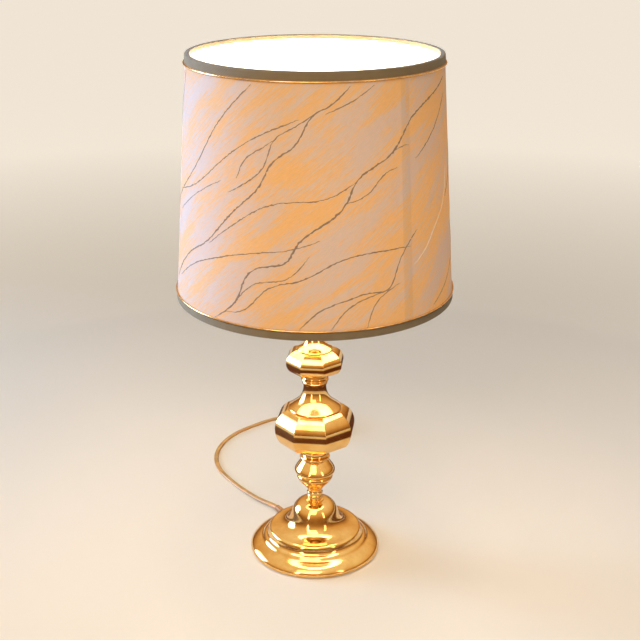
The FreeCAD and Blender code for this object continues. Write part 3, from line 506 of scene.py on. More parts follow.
@dataclass(frozen=True)
class WovenTape(Finish):
    """Viscose tape with a fine twill rib, folded over the shade's edge: matt, greyish olive."""

    title: str = "woven_twill_tape"
    hex_colour: str = "#8E7E60"
    # The ramp's dark end: darker dyeing, and painted shade in the rib's grooves
    dark_dye_and_groove_shade_hex: str = "#72624A"
    roughness: float = 0.88
    radius: float = SHADE_RADIUS
    dye_mm: float = 12.0
    dye_share: float = 0.5  # share of the patchy dyeing in the mix; the rest is the rib, which paints shade into its grooves
    dye_and_groove_shade_edges: Share = (0.2, 0.75)
    rib_mm: float = 1.2  # real ribs are near 0.5 mm, drawn coarser so that they show
    rib_height_mm: float = 0.12

    def pattern(self, tree: Tree, place: Socket) -> Inputs:
        """Adds the twill rib, the tape's patchy dyeing and painted shade in the rib's grooves.

        Args:
            tree: the material's node tree.
            place: the object coordinates.

        Returns:
            A socket or a value for each input.
        """
        flat = unrolled(tree, place, self.radius)
        twill = {"Vector": flat, "Scale": BAND * per_metre(self.rib_mm), "Distortion": 0.6}
        rib = add_node(tree, "TexWave", twill, output="Fac", wave_type="BANDS", bands_direction="DIAGONAL")
        uneven = {"Vector": place, "Scale": per_metre(self.dye_mm), "Detail": 5.0}
        patches = add_node(tree, "TexNoise", uneven)
        # The colour mixes the patchy dyeing with the rib, so the rib part is painted shade that darkens the
        # grooves
        both = {"Factor": self.dye_share, "A": rib, "B": patches}
        dye_and_groove_shade = add_node(tree, "Mix", both, output="Result", data_type="FLOAT")
        dark_end, light_start = self.dye_and_groove_shade_edges
        stops = ((dark_end, self.dark_dye_and_groove_shade_hex), (light_start, self.hex_colour))
        raised = {"Height": rib, "Distance": self.rib_height_mm * MM, "Strength": 0.8}
        return {
            "Base Color": add_node(tree, "ValToRGB", {"Fac": dye_and_groove_shade}, stops),
            "Normal": add_node(tree, "Bump", raised),
            "Sheen Weight": 0.25,
        }


@dataclass(frozen=True)
class ClearGlass(Finish):
    """Soda-lime glass, blown and fire-polished: clear, with a thin bright edge."""

    title: str = "blown_clear_glass"
    hex_colour: str = "#FFFFFF"
    roughness: float = 0.03
    ripple_mm: float = 9.0
    ripple_height_mm: float = 0.05

    def pattern(self, tree: Tree, place: Socket) -> Inputs:
        """Lets light through, with the slight ripple of blown glass.

        Args:
            tree: the material's node tree.
            place: the object coordinates.

        Returns:
            A socket or a value for each input.
        """
        ripples = add_node(tree, "TexNoise", {"Vector": place, "Scale": per_metre(self.ripple_mm)})
        raised = {"Height": ripples, "Distance": self.ripple_height_mm * MM, "Strength": 0.3}
        return {"Transmission Weight": 1.0, "Normal": add_node(tree, "Bump", raised)}


@dataclass(frozen=True)
class GlowingFloor(Finish):
    """Matt pale card that the eye sees grow lighter with the distance, up to the backdrop's colour.

    The extra light is only there for what the camera, the metal and the glass see of the floor.
    """

    title: str = "matt_studio_floor"
    hex_colour: str = "#D8D0C4"
    roughness: float = 0.9
    distances: Share = (0.15, 2.2)
    glows: Share = (0.12, 0.74)
    glow_hex: str = "#FBF1E2"

    def pattern(self, tree: Tree, place: Socket) -> Inputs:
        """Raises the glow with the distance from the lamp.

        Args:
            tree: the material's node tree.
            place: the object coordinates.

        Returns:
            A socket or a value for each input.
        """
        distance = add_node(tree, "VectorMath", {0: place}, output="Value", operation="LENGTH")
        glow = add_node(tree, "MapRange", {"Value": distance, **ranges(self.glows, self.distances)})
        looked_at = seen_by(tree, Ray.CAMERA, Ray.GLOSSY, Ray.TRANSMISSION)
        strength = add_node(tree, "Math", {0: glow, 1: looked_at}, operation="MULTIPLY")
        return {"Emission Color": linear(self.glow_hex), "Emission Strength": strength}


BRASS = PolishedBrass()
FLOOR = GlowingFloor()
COVER = MarbledJacquard()
TAPE = WovenTape()
GLASS = ClearGlass()
# Flat dark brown with no shine
FELT = GrainedSolid("pressed_wool_felt", "#3A2E24", 0.0, 0.95, "#2A211A", 0.5, 0.20, 6.0)
# Dull dark grey with a coarse, sandy skin
IRON = GrainedSolid("sand_cast_iron", "#4A4845", 0.7, 0.62, "#34322F", 1.4, 0.25, 10.0)
# Cool light grey metal with a soft shine
ZINC = GrainedSolid("zinc_plated_steel", "#B9BBB8", 1.0, 0.30, "#9FA09A", 0.6, 0.01, 7.0)
# Dark brown with a hard, moulded gloss
PHENOLIC = GrainedSolid("moulded_phenolic", "#4A2E1E", 0.0, 0.30, "#3A2318", 0.7, 0.01, 12.0, 0.3)
# Warm white under a clear, wet-looking glaze
PORCELAIN = GrainedSolid("glazed_porcelain", "#F0ECE2", 0.0, 0.18, "#E4DFD2", 1.0, 0.01, 9.0, 0.6)
# Yellow sheet metal with a soft shine
CONTACT = GrainedSolid("pressed_contact_brass", "#D9B25E", 1.0, 0.28, "#B98E45", 0.6, 0.01, 5.0)
# Even blue with a low shine
CORE = GrainedSolid("extruded_core_insulation", "#3B5E8C", 0.0, 0.38, "#33517A", 0.5, 0.01, 5.0)
# Amber that light soaks into, with a gloss over it
FLEX_SKIN = GrainedSolid("extruded_amber_pvc", "#CC9D5E", 0.0, 0.30, "#B98849", 0.7, 0.015, 14.0, 0.35, 0.15)
# Brown and slightly soft-looking
SLEEVE = GrainedSolid("moulded_soft_pvc", "#A87843", 0.0, 0.42, "#946536", 0.5, 0.02, 5.0, 0.1, 0.1)
# Dark brown with a fine moulded grain
PLUG = GrainedSolid("moulded_brown_pvc", "#6B4526", 0.0, 0.40, "#5B391E", 0.6, 0.03, 8.0, 0.1)
# Bright, faintly warm silver
NICKEL = GrainedSolid("nickel_plated_brass", "#CFCBC2", 1.0, 0.20, "#BDB8AD", 0.5, 0.005, 6.0)
# Off-white with a low shine
WHITE_WIRE = GrainedSolid("epoxy_coated_wire", "#ECE8DF", 0.0, 0.35, "#DED9CC", 0.8, 0.02, 9.0, 0.2)
# Pale, evenly shiny silver
ALUMINIUM = GrainedSolid("rolled_aluminium_cap", "#C9C7C1", 1.0, 0.26, "#AFACA4", 0.5, 0.01, 4.0)
# Black with a hard gloss
BLACK_GLASS = GrainedSolid("black_insulator_glass", "#17151A", 0.0, 0.10, "#100F12", 1.0, 0.005, 6.0, 0.5)
# Dark silver-grey
TUNGSTEN = GrainedSolid("drawn_tungsten_wire", "#8E8A84", 1.0, 0.35, "#77736D", 0.3, 0.005, 2.0)
# Pale gold that glitters where the strands turn
PIPING = GrainedSolid("pale_gold_lurex_piping", "#F0C68C", 1.0, 0.22, "#D9A666", 0.6, 0.02, 6.0)
# Dark brown, seen only in the brass
DARK_CARD = GrainedSolid("dark_brown_card", "#5E2F12", 0.0, 0.9, "#4A230C", 3.0, 0.05, 30.0)
# Grey-brown, with a little light from behind
VEIN = LitFilm("slate_vein_yarn", "#84766E", 0.0, 0.85, 0.16, "#C08A58", 3.0)
# Light silver, with more light from behind
PALE_VEIN = LitFilm("silver_vein_yarn", "#D3CCC6", 0.0, 0.70, 0.34, "#F0C08A", 3.0)
# Even white, made bright by a painted glow of the bulb's light
LINER = LitFilm("white_styrene_liner", "#F4F2EC", 0.0, 0.45, 1.6)
# White with a warm, even glow
OPAL = LitFilm("opal_bulb_glass", "#FFFFFF", 0.0, 0.25, 2.0, "#FFE2B0", 12.0)


def polar(radius: float, angle: float, z: float = 0.0) -> Vector:
    """A point by its distance from the Z axis, its angle about it and its height."""
    return Vector((radius * math.cos(angle), radius * math.sin(angle), z))


def eased(share: float) -> float:
    """A share from 0 to 1 that starts and ends slowly."""
    return share * share * (3 - 2 * share)


def clamped(share: float) -> float:
    """A share kept between 0 and 1."""
    return min(max(share, 0.0), 1.0)


def ripple(turns: float) -> float:
    """Runs from 0 to 1 and back in each turn."""
    return 0.5 - 0.5 * math.cos(TURN * turns)


def bend(start: Vector, tip: Vector, end: Vector, steps: int) -> list[Vector]:
    """Points on the curve that rounds the corner at the tip, both ends among them."""
    shares = [k / steps for k in range(steps + 1)]
    return [start * (1 - t) ** 2 + tip * 2 * t * (1 - t) + end * t * t for t in shares]


def smooth_samples(points: Sequence[Share], step: float) -> list[Vector]:
    """Points close together on the natural cubic curve through the given ones.

    Args:
        points: two points for a straight line, or more for a curve.
        step: the greatest distance between two samples.

    Returns:
        The samples, both ends among them.
    """
    knots = [Vector(p) for p in points]
    smallest = 1e-9  # so that nothing is divided by 0 where two points are the same
    spans = [max((b - a).length, smallest) for a, b in zip(knots, knots[1:])]
    count = len(knots)
    bends = [Vector([0.0] * len(knots[0])) for _ in knots]
    if count > 2:
        ratio, carried = [0.0] * count, [b.copy() for b in bends]
        for i in range(1, count - 1):
            before, after = spans[i - 1], spans[i]
            pull = 6 * ((knots[i + 1] - knots[i]) / after - (knots[i] - knots[i - 1]) / before)
            pivot = 2 * (before + after) - before * ratio[i - 1]
            ratio[i] = after / pivot
            carried[i] = (pull - before * carried[i - 1]) / pivot
        for i in range(count - 2, 0, -1):
            bends[i] = carried[i] - ratio[i] * bends[i + 1]
    samples = [knots[0]]
    for i, span in enumerate(spans):
        pieces = max(1, math.ceil(span / step)) if count > 2 else 1
        for k in range(1, pieces + 1):
            t = k / pieces
            s = 1 - t
            bow = ((s**3 - s) * bends[i] + (t**3 - t) * bends[i + 1]) * span * span / 6
            samples.append(knots[i] * s + knots[i + 1] * t + bow)
    return samples


def rounded(strokes: Sequence[Sequence[Vector]], corner: float) -> list[Vector]:
    """Joins strokes end to end and rounds the corners where they meet.

    Args:
        strokes: lists of points, each starting where the one before ends.
        corner: how far from a corner its rounding starts.

    Returns:
        One list of points.
    """
    joined = list(strokes[0])
    for stroke in strokes[1:]:
        tip, after = joined[-1], list(stroke[1:])
        near = min(corner, (tip - stroke[-1]).length / CORNER_LIMIT)
        while len(joined) > 1 and (joined[-2] - tip).length <= near:
            joined.pop()
        start = tip + (joined[-2] - tip).normalized() * near if len(joined) > 1 else tip
        while len(after) > 1 and (after[0] - tip).length <= near:
            after.pop(0)
        end = tip + (after[0] - tip).normalized() * near
        if len(joined) > 1:
            joined.pop()
        joined += bend(start, tip, end, steps=4) + after
    return joined


def row(start: int, count: int, closed: bool = True) -> list[int]:
    """The numbers of so many points, with the first again at the end of a closed row."""
    numbers = list(range(start, start + count))
    return numbers + numbers[:1] if closed else numbers


def sheet(rows: Sequence[Sequence[int]]) -> list[Face]:
    """The faces between neighbouring rows of point numbers.

    Args:
        rows: the rows, all with the same count.

    Returns:
        Four corner numbers for each face.
    """
    return [
        (a, b, d, c)
        for first, second in zip(rows, rows[1:])
        for a, b, c, d in zip(first, first[1:], second, second[1:])
    ]


def capped(rows: Sequence[Sequence[int]]) -> list[Face]:
    """The faces of a rod of closed rows, with a cap on both ends."""
    return sheet(rows) + [tuple(rows[0][:-1]), tuple(rows[-1][:-1])]


def mesh_piece(name: str, vertices: Sequence, faces: Sequence[Face], crease: float = 38.0) -> Object:
    """Makes a smooth-shaded object that is sharp where faces turn by more than the crease.

    Args:
        name: the piece's name.
        vertices: the corners, in metres.
        faces: lists of corner numbers.
        crease: the angle, in degrees, that stays sharp.

    Returns:
        The object, linked to the scene.
    """
    mesh = bpy.data.meshes.new(name)
    mesh.from_pydata([tuple(v) for v in vertices], [], faces)
    shape = bmesh.new()
    shape.from_mesh(mesh)
    bmesh.ops.recalc_face_normals(shape, faces=shape.faces)
    shape.to_mesh(mesh)
    shape.free()
    mesh.shade_smooth()
    mesh.set_sharp_from_angle(angle=math.radians(crease))
    return in_scene(bpy.data.objects.new(name, mesh))


def in_scene(thing: Object) -> Object:
    """Links a new object to the scene and hands it back."""
    bpy.context.scene.collection.objects.link(thing)
    return thing


def ringed(name: str, rings: Sequence[Sequence[Vector]], crease: float = 38.0, rod: bool = False) -> Object:
    """Joins closed rings of points, all with the same count.

    Args:
        name: the piece's name.
        rings: the rings in order.
        crease: the angle, in degrees, that stays sharp.
        rod: whether both ends are capped. If not, the last ring joins the first.

    Returns:
        The object.
    """
    count = len(rings[0])
    rows = [row(i * count, count) for i in range(len(rings))]
    faces = capped(rows) if rod else sheet(rows + rows[:1])
    return mesh_piece(name, [p for ring in rings for p in ring], faces, crease)


def lathe(name: str, profile: Sequence[Vector], segments: int) -> Object:
    """Turns a closed outline of (radius, height) points once round the Z axis.

    Args:
        name: the piece's name.
        profile: the outline, whose last point joins its first.
        segments: how many steps go round.

    Returns:
        The object.
    """
    angles = [TURN * k / segments for k in range(segments)]
    return ringed(name, [[polar(p.x, angle, p.y) for angle in angles] for p in profile])


def axis_distances(node: str) -> list[float]:
    """How far each corner of a node's mesh lies from the Z axis."""
    return [math.hypot(v.co.x, v.co.y) for v in bpy.data.objects[node].data.vertices]


def finish_piece(piece: Object, body: str, slot: str, look: Finish, *replaced: str) -> Object:
    """Gives a new piece its material and its body, and hides the nodes that it replaces.

    Args:
        piece: the object.
        body: the body that it moves with.
        slot: not used.
        look: the finish.
        replaced: the nodes that it replaces.

    Returns:
        The same object.
    """
    piece.data.materials.clear()
    piece.data.materials.append(look.material())
    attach(piece, body)
    if replaced:
        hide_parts(*replaced)
    LOG.info("%s: %d faces on %s", piece.name, len(getattr(piece.data, "polygons", ())), body)
    return piece


def dress_nodes(look: Finish, *nodes: str) -> None:
    """Gives nodes that keep their own shapes a better material.

    Args:
        look: the finish.
        nodes: the nodes.
    """
    for node in nodes:
        piece = bpy.data.objects[node]
        if not piece.material_slots:
            piece.data.materials.append(look.material())
        for slot in piece.material_slots:
            slot.material = look.material()
        LOG.info("%s: kept, %s", node, look.title)


@dataclass
class PhotoCamera:
    """The camera at the photograph's viewing angle."""

    place: Place = (0.0, -1.2522, 0.7556)
    pitch: float = 0.360  # radians below level
    lens: float = 68.29
    sensor: float = 36.0
    shift_x: float = 0.008

    def build(self) -> None:
        """Adds the camera and makes it the scene's own."""
        data = bpy.data.cameras.new("photo_camera")
        data.lens, data.sensor_width, data.shift_x = self.lens, self.sensor, self.shift_x
        camera = in_scene(bpy.data.objects.new("photo_camera", data))
        camera.location = self.place
        camera.rotation_euler = (math.pi / 2 - self.pitch, 0.0, 0.0)
        bpy.context.scene.camera = camera


@dataclass
class Flex:
    """The flat twin flex from the foot's sleeve to the plug, on the floor and in its stored coil."""

    width: float = 6.0 * MM
    thickness: float = 3.0 * MM
    side_steps: int = 9
    side_turn: float = math.pi * 1.24  # how far each core's round side goes, past a half turn to the web
    lie_z: float = 1.6 * MM
    exit_angle: float = math.radians(121.0)
    exit_radius: float = 91.1 * MM
    exit_z: float = 5.8 * MM
    coil_y: float = 318.0 * MM
    coil_middle_radius: float = 35.5 * MM
    turn_pitch: float = 6.6 * MM
    layer_pitch: float = 3.8 * MM
    start_angle: float = math.radians(110.0)
    end_angle: float = math.radians(90.0)
    whole_turns: int = 6
    climb_turns: float = 0.5
    lead_run: float = 38.0 * MM
    tail_run: float = 28.5 * MM
    tail_swing: float = 1.12  # how far outside the last bend its control points lie
    plug_axis_z: float = 14.15 * MM
    points_per_turn: int = 16
    total_length: float = 1.83
    # The free stretch on the floor, in millimetres, as it is chosen in the lamp's construction
    route: tuple[Place, ...] = (
        (-58.9, 91.6, 4.9),
        (-73.2, 107.0, 2.8),
        (-92.0, 131.5, 1.6),
        (-110.8, 158.0, 1.6),
        (-127.0, 187.0, 1.6),
        (-135.0, 222.0, 1.6),
        (-131.0, 259.0, 1.6),
        (-115.0, 294.0, 1.6),
        (-89.0, 321.0, 1.6),
    )

    @property
    def turns(self) -> float:
        """How many times the coil goes round."""
        return self.whole_turns + ((self.start_angle - self.end_angle) % TURN) / TURN

    @property
    def exit_way(self) -> Vector:
        """The level direction in which the flex leaves the foot."""
        return polar(1.0, self.exit_angle)

    @property
    def exit_point(self) -> Vector:
        """Where the flex leaves its sleeve."""
        return self.exit_way * self.exit_radius + Vector((0, 0, self.exit_z))

    def coil_point(self, turn: float, outward: float = 1.0) -> Vector:
        """A point of the coil after so many turns.

        Args:
            turn: turns from the coil's start.
            outward: factor on the radius, for a control point that lies outside the curve.

        Returns:
            The point.
        """
        from_middle = turn - self.turns / 2
        # The distance from the middle turn is a quarter of the turns on average
        inner = self.coil_middle_radius - self.turn_pitch * self.turns / 4
        radius = (inner + self.turn_pitch * abs(from_middle)) * outward
        z = self.lie_z + eased(clamped(from_middle / self.climb_turns + 0.5)) * self.layer_pitch
        angle = self.start_angle - turn * TURN
        return Vector((radius * math.cos(angle), self.coil_y + radius * math.sin(angle), z))

    def control_points(self) -> list[Vector]:
        """Works out the flex's way from the sleeve to the plug.

        Returns:
            The spline's control points.
        """
        points = [self.exit_point, self.exit_point + self.exit_way * self.width]
        points += [Vector(p) * MM for p in self.route]
        start = self.coil_point(0.0)
        small_turn = 1e-3
        heading = (self.coil_point(small_turn) - start).normalized()
        entry = start - heading * self.width
        points += [entry - heading * self.lead_run, entry]
        outward = 1 / math.cos(math.pi / self.points_per_turn)
        count = round(self.turns * self.points_per_turn)
        points += [self.coil_point(self.turns * (k + 0.5) / count, outward) for k in range(count)]
        end = self.coil_point(self.turns)
        tail = end + Vector((self.tail_run, 0, 0))
        radius = (tail.y - self.coil_y) / 2
        middle = Vector((tail.x, self.coil_y + radius, end.z))
        rise = self.plug_axis_z - end.z
        points += [end, tail]
        for share in (0.25, 0.5, 0.75):
            points.append(middle + polar(radius * self.tail_swing, math.pi * (0.5 - share), rise * share))
        plug_entry = Vector((tail.x, self.coil_y, self.plug_axis_z))
        return points + [plug_entry, plug_entry - Vector((self.width, 0, 0))]

    def section(self) -> Object:
        """Draws two round cores side by side with a web between them.

        Returns:
            The flex's outline, as a curve object.
        """
        core = self.thickness / 2
        offset = (self.width - self.thickness) / 2
        outline = []
        for side, facing in ((1, 0.0), (-1, math.pi)):
            for k in range(self.side_steps):
                angle = (k / (self.side_steps - 1) - 0.5) * self.side_turn + facing
                outline.append(polar(core, angle) + Vector((side * offset, 0, 0)))
        curve = bpy.data.curves.new("flex_outline", "CURVE")
        self.add_spline(curve, "POLY", outline).use_cyclic_u = True
        return bpy.data.objects.new("flex_outline", curve)

    @staticmethod
    def add_spline(curve: bpy.types.Curve, kind: str, points: Sequence[Vector]) -> bpy.types.Spline:
        """Adds a spline to a curve.

        Args:
            curve: the curve.
            kind: Blender's name for the spline's type.
            points: its points or control points.

        Returns:
            The spline.
        """
        spline = curve.splines.new(kind)
        spline.points.add(len(points) - 1)
        for place, point in zip(spline.points, points):
            place.co = (*point, 1.0)
        return spline

    def build(self) -> Object:
        """Makes the flex as one open NURBS curve.

        Returns:
            The flex.
        """
        curve = bpy.data.curves.new("flex", "CURVE")
        curve.dimensions = "3D"
        curve.twist_mode = "Z_UP"
        curve.resolution_u = 6
        curve.bevel_mode = "OBJECT"
        curve.bevel_object = self.section()
        curve.use_fill_caps = True
        spline = self.add_spline(curve, "NURBS", self.control_points())
        spline.order_u = 3
        spline.use_endpoint_u = True
        flex = in_scene(bpy.data.objects.new("flex", curve))
        return finish_piece(flex, "stand", "amber_flex", FLEX_SKIN, "flex_run", "flex_coil")


@dataclass
class Sleeve:
    """The ribbed, tapered bush where the flex leaves the foot."""

    flex: Flex
    start: float = 75.5 * MM
    length: float = 15.5 * MM
    root_radius: float = 4.7 * MM
    tip_radius: float = 3.7 * MM
    neck_radius: float = 3.8 * MM
    neck_length: float = 7.4 * MM
    neck_end: float = 0.2 * MM  # behind the root, where the neck's outline stops
    edge: float = 0.3 * MM
    rib_count: int = 4
    rib_depth: float = 0.55 * MM
    steps_per_rib: int = 8
    segments: int = 40

    def build(self) -> Object:
        """Makes the bush round the flex's way out.

        Returns:
            The bush.
        """
        profile = [(self.neck_radius, -self.neck_length), (self.neck_radius, -self.neck_end)]
        profile.append((self.root_radius - self.edge, 0.0))
        steps = self.rib_count * self.steps_per_rib
        for k in range(steps + 1):
            share = k / steps
            taper = self.root_radius + (self.tip_radius - self.root_radius) * share
            radius = taper - self.rib_depth * ripple(self.rib_count * share)
            profile.append((radius, self.edge + (self.length - 2 * self.edge) * share))
        profile.append((self.tip_radius - self.edge, self.length))
        along, up = self.flex.exit_way, Vector((0, 0, 1))
        frame = Matrix((along.cross(up), up, along)).transposed()
        centre = along * self.start + Vector((0, 0, self.flex.exit_z))
        angles = [TURN * k / self.segments for k in range(self.segments)]
        rings = [[centre + frame @ polar(radius, angle, run) for angle in angles] for radius, run in profile]
        bush = ringed("flex_bush", rings, rod=True)
        return finish_piece(bush, "stand", "sleeve_pvc", SLEEVE, "flex_sleeve")


@dataclass
class Plug:
    """The flat two-pin plug that lies across the stored coil."""

    tail_share: float = 0.86  # of the tail's length that has ribs
    tail_length: float = 20.0 * MM
    rib_count: int = 4
    first_rib: float = 0.03  # share of the plug's length at which the ribs start
    rib_depths: Share = (0.14, 0.16)  # shares of the width and of the thickness
    power: float = 3.2  # of the rounded outline: 2 is an ellipse, more is squarer
    around: int = 56
    steps: int = 84
    # (share of the length from the flex, share of the width, share of the thickness)
    stations: tuple[Place, ...] = (
        (0.0, 0.25, 0.40),
        (0.02, 0.29, 0.46),
        (0.36, 0.46, 0.72),
        (0.44, 0.60, 0.84),
        (0.54, 0.82, 0.94),
        (0.64, 0.96, 1.0),
        (0.74, 0.99, 1.0),
        (0.84, 0.93, 0.97),
        (0.93, 0.98, 1.0),
        (0.985, 1.0, 1.0),
        (1.0, 0.965, 0.93),
    )

    def size_at(self, share: float) -> Share:
        """Finds the plug's size part of the way along it.

        Args:
            share: how far along, from the flex.

        Returns:
            Its shares of the greatest width and thickness.
        """
        for a, b in zip(self.stations, self.stations[1:]):
            if share <= b[0]:
                t = eased((share - a[0]) / (b[0] - a[0]))
                return a[1] + (b[1] - a[1]) * t, a[2] + (b[2] - a[2]) * t
        return self.stations[-1][1:]

    def squared(self, value: float) -> float:
        """A sine or cosine pushed outwards, for the squarish outline."""
        return math.copysign(abs(value) ** (2 / self.power), value)

    def build(self) -> Object:
        """Makes the body in the box of the node that it replaces.

        Returns:
            The plug.
        """
        low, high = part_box("plug_body")
        size, middle = high - low, (low + high) / 2
        first, last = self.first_rib, self.tail_length / size.x * self.tail_share
        rings = []
        for i in range(self.steps + 1):
            share = i / self.steps
            wide, thick = self.size_at(share)
            if first < share < last:
                rib = ripple(self.rib_count * (share - first) / (last - first))
                wide, thick = (s * (1 - d * rib) for s, d in zip((wide, thick), self.rib_depths))
            ring = []
            for k in range(self.around):
                angle = TURN * k / self.around
                y = middle.y + self.squared(math.cos(angle)) * size.y / 2 * wide
                z = middle.z + self.squared(math.sin(angle)) * size.z / 2 * thick
                ring.append(Vector((high.x - share * size.x, y, z)))
            rings.append(ring)
        moulding = ringed("plug_moulding", rings, rod=True)
        return finish_piece(moulding, "stand", "plug_pvc", PLUG, "plug_body")


@dataclass
class TurnedPiece:
    """A piece of the stem or the foot that is round about the Z axis.

    Attributes:
        node: the node that it replaces.
        strokes: its outline as shares of its greatest radius and its height. Each stroke
            goes on from the last point of the one before.
        wall: the wall of a spun piece, or 0 for a solid one with a straight bore.
        closed_top: whether a spun piece closes down to the bore.
        lip: whether its first stroke is a rolled lip.
        corner: how far its corners are rounded.
        segments: how many steps go round.
    """

    node: str
    strokes: tuple[Stroke, ...]
    wall: float = 0.0
    closed_top: bool = False
    lip: bool = False
    corner: float = 0.35 * MM
    segments: int = 144
    step: float = 0.9 * MM
    bore: float = 5.15 * MM

    def outline(self) -> list[Vector]:
        """Works out the piece's section.

        Returns:
            A closed outline of (radius, height) points.
        """
        low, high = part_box(self.node)
        radius, height = max(axis_distances(self.node)), high.z - low.z
        scaled = [[(r * radius, low.z + z * height) for r, z in stroke] for stroke in self.strokes]
        starts = [[], *([stroke[-1]] for stroke in scaled)]  # where the stroke before ends
        outside = [smooth_samples(start + stroke, self.step) for start, stroke in zip(starts, scaled)]
        first, last = outside[0][0], outside[-1][-1]
        if not self.wall:
            outside.append([last, Vector((self.bore, last.y))])
            return rounded(outside, self.corner) + [Vector((self.bore, first.y))]
        knots = [Vector(place) for stroke in scaled for place in stroke]
        inside = self.inset(knots)
        inside = [Vector((first.x - self.wall, first.y))] + inside[len(scaled[0]) if self.lip else 1 :]
        tail = []
        if self.closed_top:
            inside[-1] = Vector((inside[-1].x, last.y - self.wall))
            outside.append([last, Vector((self.bore, last.y))])
            tail = [Vector((self.bore, last.y - self.wall))]
        else:
            inside[-1] = Vector((last.x - self.wall, last.y))
        back = smooth_samples([tuple(p) for p in inside], self.step * 2)[::-1]
        return rounded(outside, self.corner) + tail + back

    def inset(self, knots: Sequence[Vector]) -> list[Vector]:
        """Moves the outline's points inwards by the wall.

        Args:
            knots: the points, from the bottom up.

        Returns:
            The moved points.
        """
        moved = []
        for i, knot in enumerate(knots):
            run = (knots[min(i + 1, len(knots) - 1)] - knots[max(i - 1, 0)]).normalized()
            moved.append(knot + Vector((-run.y, run.x)) * self.wall)
        return moved

    def build(self) -> Object:
        """Makes the piece and dresses it in brass."""
        piece = lathe(self.node + "_brass", self.outline(), self.segments)
        return finish_piece(piece, "stand", "polished_brass", BRASS, self.node)


@dataclass
class Knop:
    """A cast knop whose faces bulge from top to bottom and are flat from side to side.

    Attributes:
        node: the node that it replaces.
        belt_share: the height of its widest line, as a share of its own height.
        bottom_share: its lower rim's half width as a share of the widest.
        top_share: its upper rim's.
        turn: how far one face is turned from the front, in degrees.
    """

    node: str
    belt_share: float
    bottom_share: float
    top_share: float
    turn: float
    sides: int = 8
    edge_radius: float = 1.3 * MM
    rim_radius: float = 0.8 * MM
    bore: float = 5.15 * MM
    arc_steps: int = 18
    edge_steps: int = 6
    edge_limit: float = 0.4  # share of a half width that a rounded edge may take
    edge_margin: float = 0.5 * MM  # of flat face that is kept next to a rounded edge
    margin_limit: float = 0.3  # share of a half face that the margin may take

    def outline(self) -> list[Vector]:
        """Works out the knop's section.

        Returns:
            A closed outline of (half width, height) points.
        """
        low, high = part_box(self.node)
        half = max(axis_distances(self.node)) * math.cos(math.pi / self.sides)
        belt_z = low.z + (high.z - low.z) * self.belt_share
        arcs = []
        for share, z, way in ((self.bottom_share, low.z, -1), (self.top_share, high.z, 1)):
            across, rise = half * (1 - share), abs(z - belt_z)
            radius = (across * across + rise * rise) / (2 * across)
            angles = [math.asin(rise / radius) * k / self.arc_steps for k in range(self.arc_steps + 1)]
            arc = [(half - radius * (1 - math.cos(a)), belt_z + way * radius * math.sin(a)) for a in angles]
            arcs.append([Vector(place) for place in arc])
        outside = arcs[0][::-1] + arcs[1][1:]
        first, last = outside[0], outside[-1]
        strokes = [[Vector((self.bore, first.y)), first], outside, [last, Vector((self.bore, last.y))]]
        return rounded(strokes, self.rim_radius)

    def ring(self, half: float, z: float) -> list[Vector]:
        """A level outline with flat sides and rounded corners.

        Args:
            half: half its width across the flats.
            z: its height.

        Returns:
            Its points.
        """
        corner = min(self.edge_radius, half * self.edge_limit)
        part = math.pi / self.sides
        core = half - corner
        flat = core * math.tan(part)
        near = min(self.edge_margin, flat * self.margin_limit)
        offsets = (-flat + near, -flat / 3, flat / 3, flat - near)
        level = Vector((0, 0, z))
        points = []
        for k in range(self.sides):
            angle = math.radians(self.turn) + FRONT + k * 2 * part
            out = polar(1.0, angle)
            along = Vector((-out.y, out.x, 0))
            points += [out * half + along * offset + level for offset in offsets]
            vertex = out * core + along * flat
            for m in range(self.edge_steps + 1):
                points.append(vertex + polar(1.0, angle + 2 * part * m / self.edge_steps) * corner + level)
        return points

    def build(self) -> Object:
        """Makes the knop and dresses it in brass."""
        piece = ringed(self.node + "_brass", [self.ring(p.x, p.y) for p in self.outline()], crease=50.0)
        return finish_piece(piece, "stand", "polished_brass", BRASS, self.node)


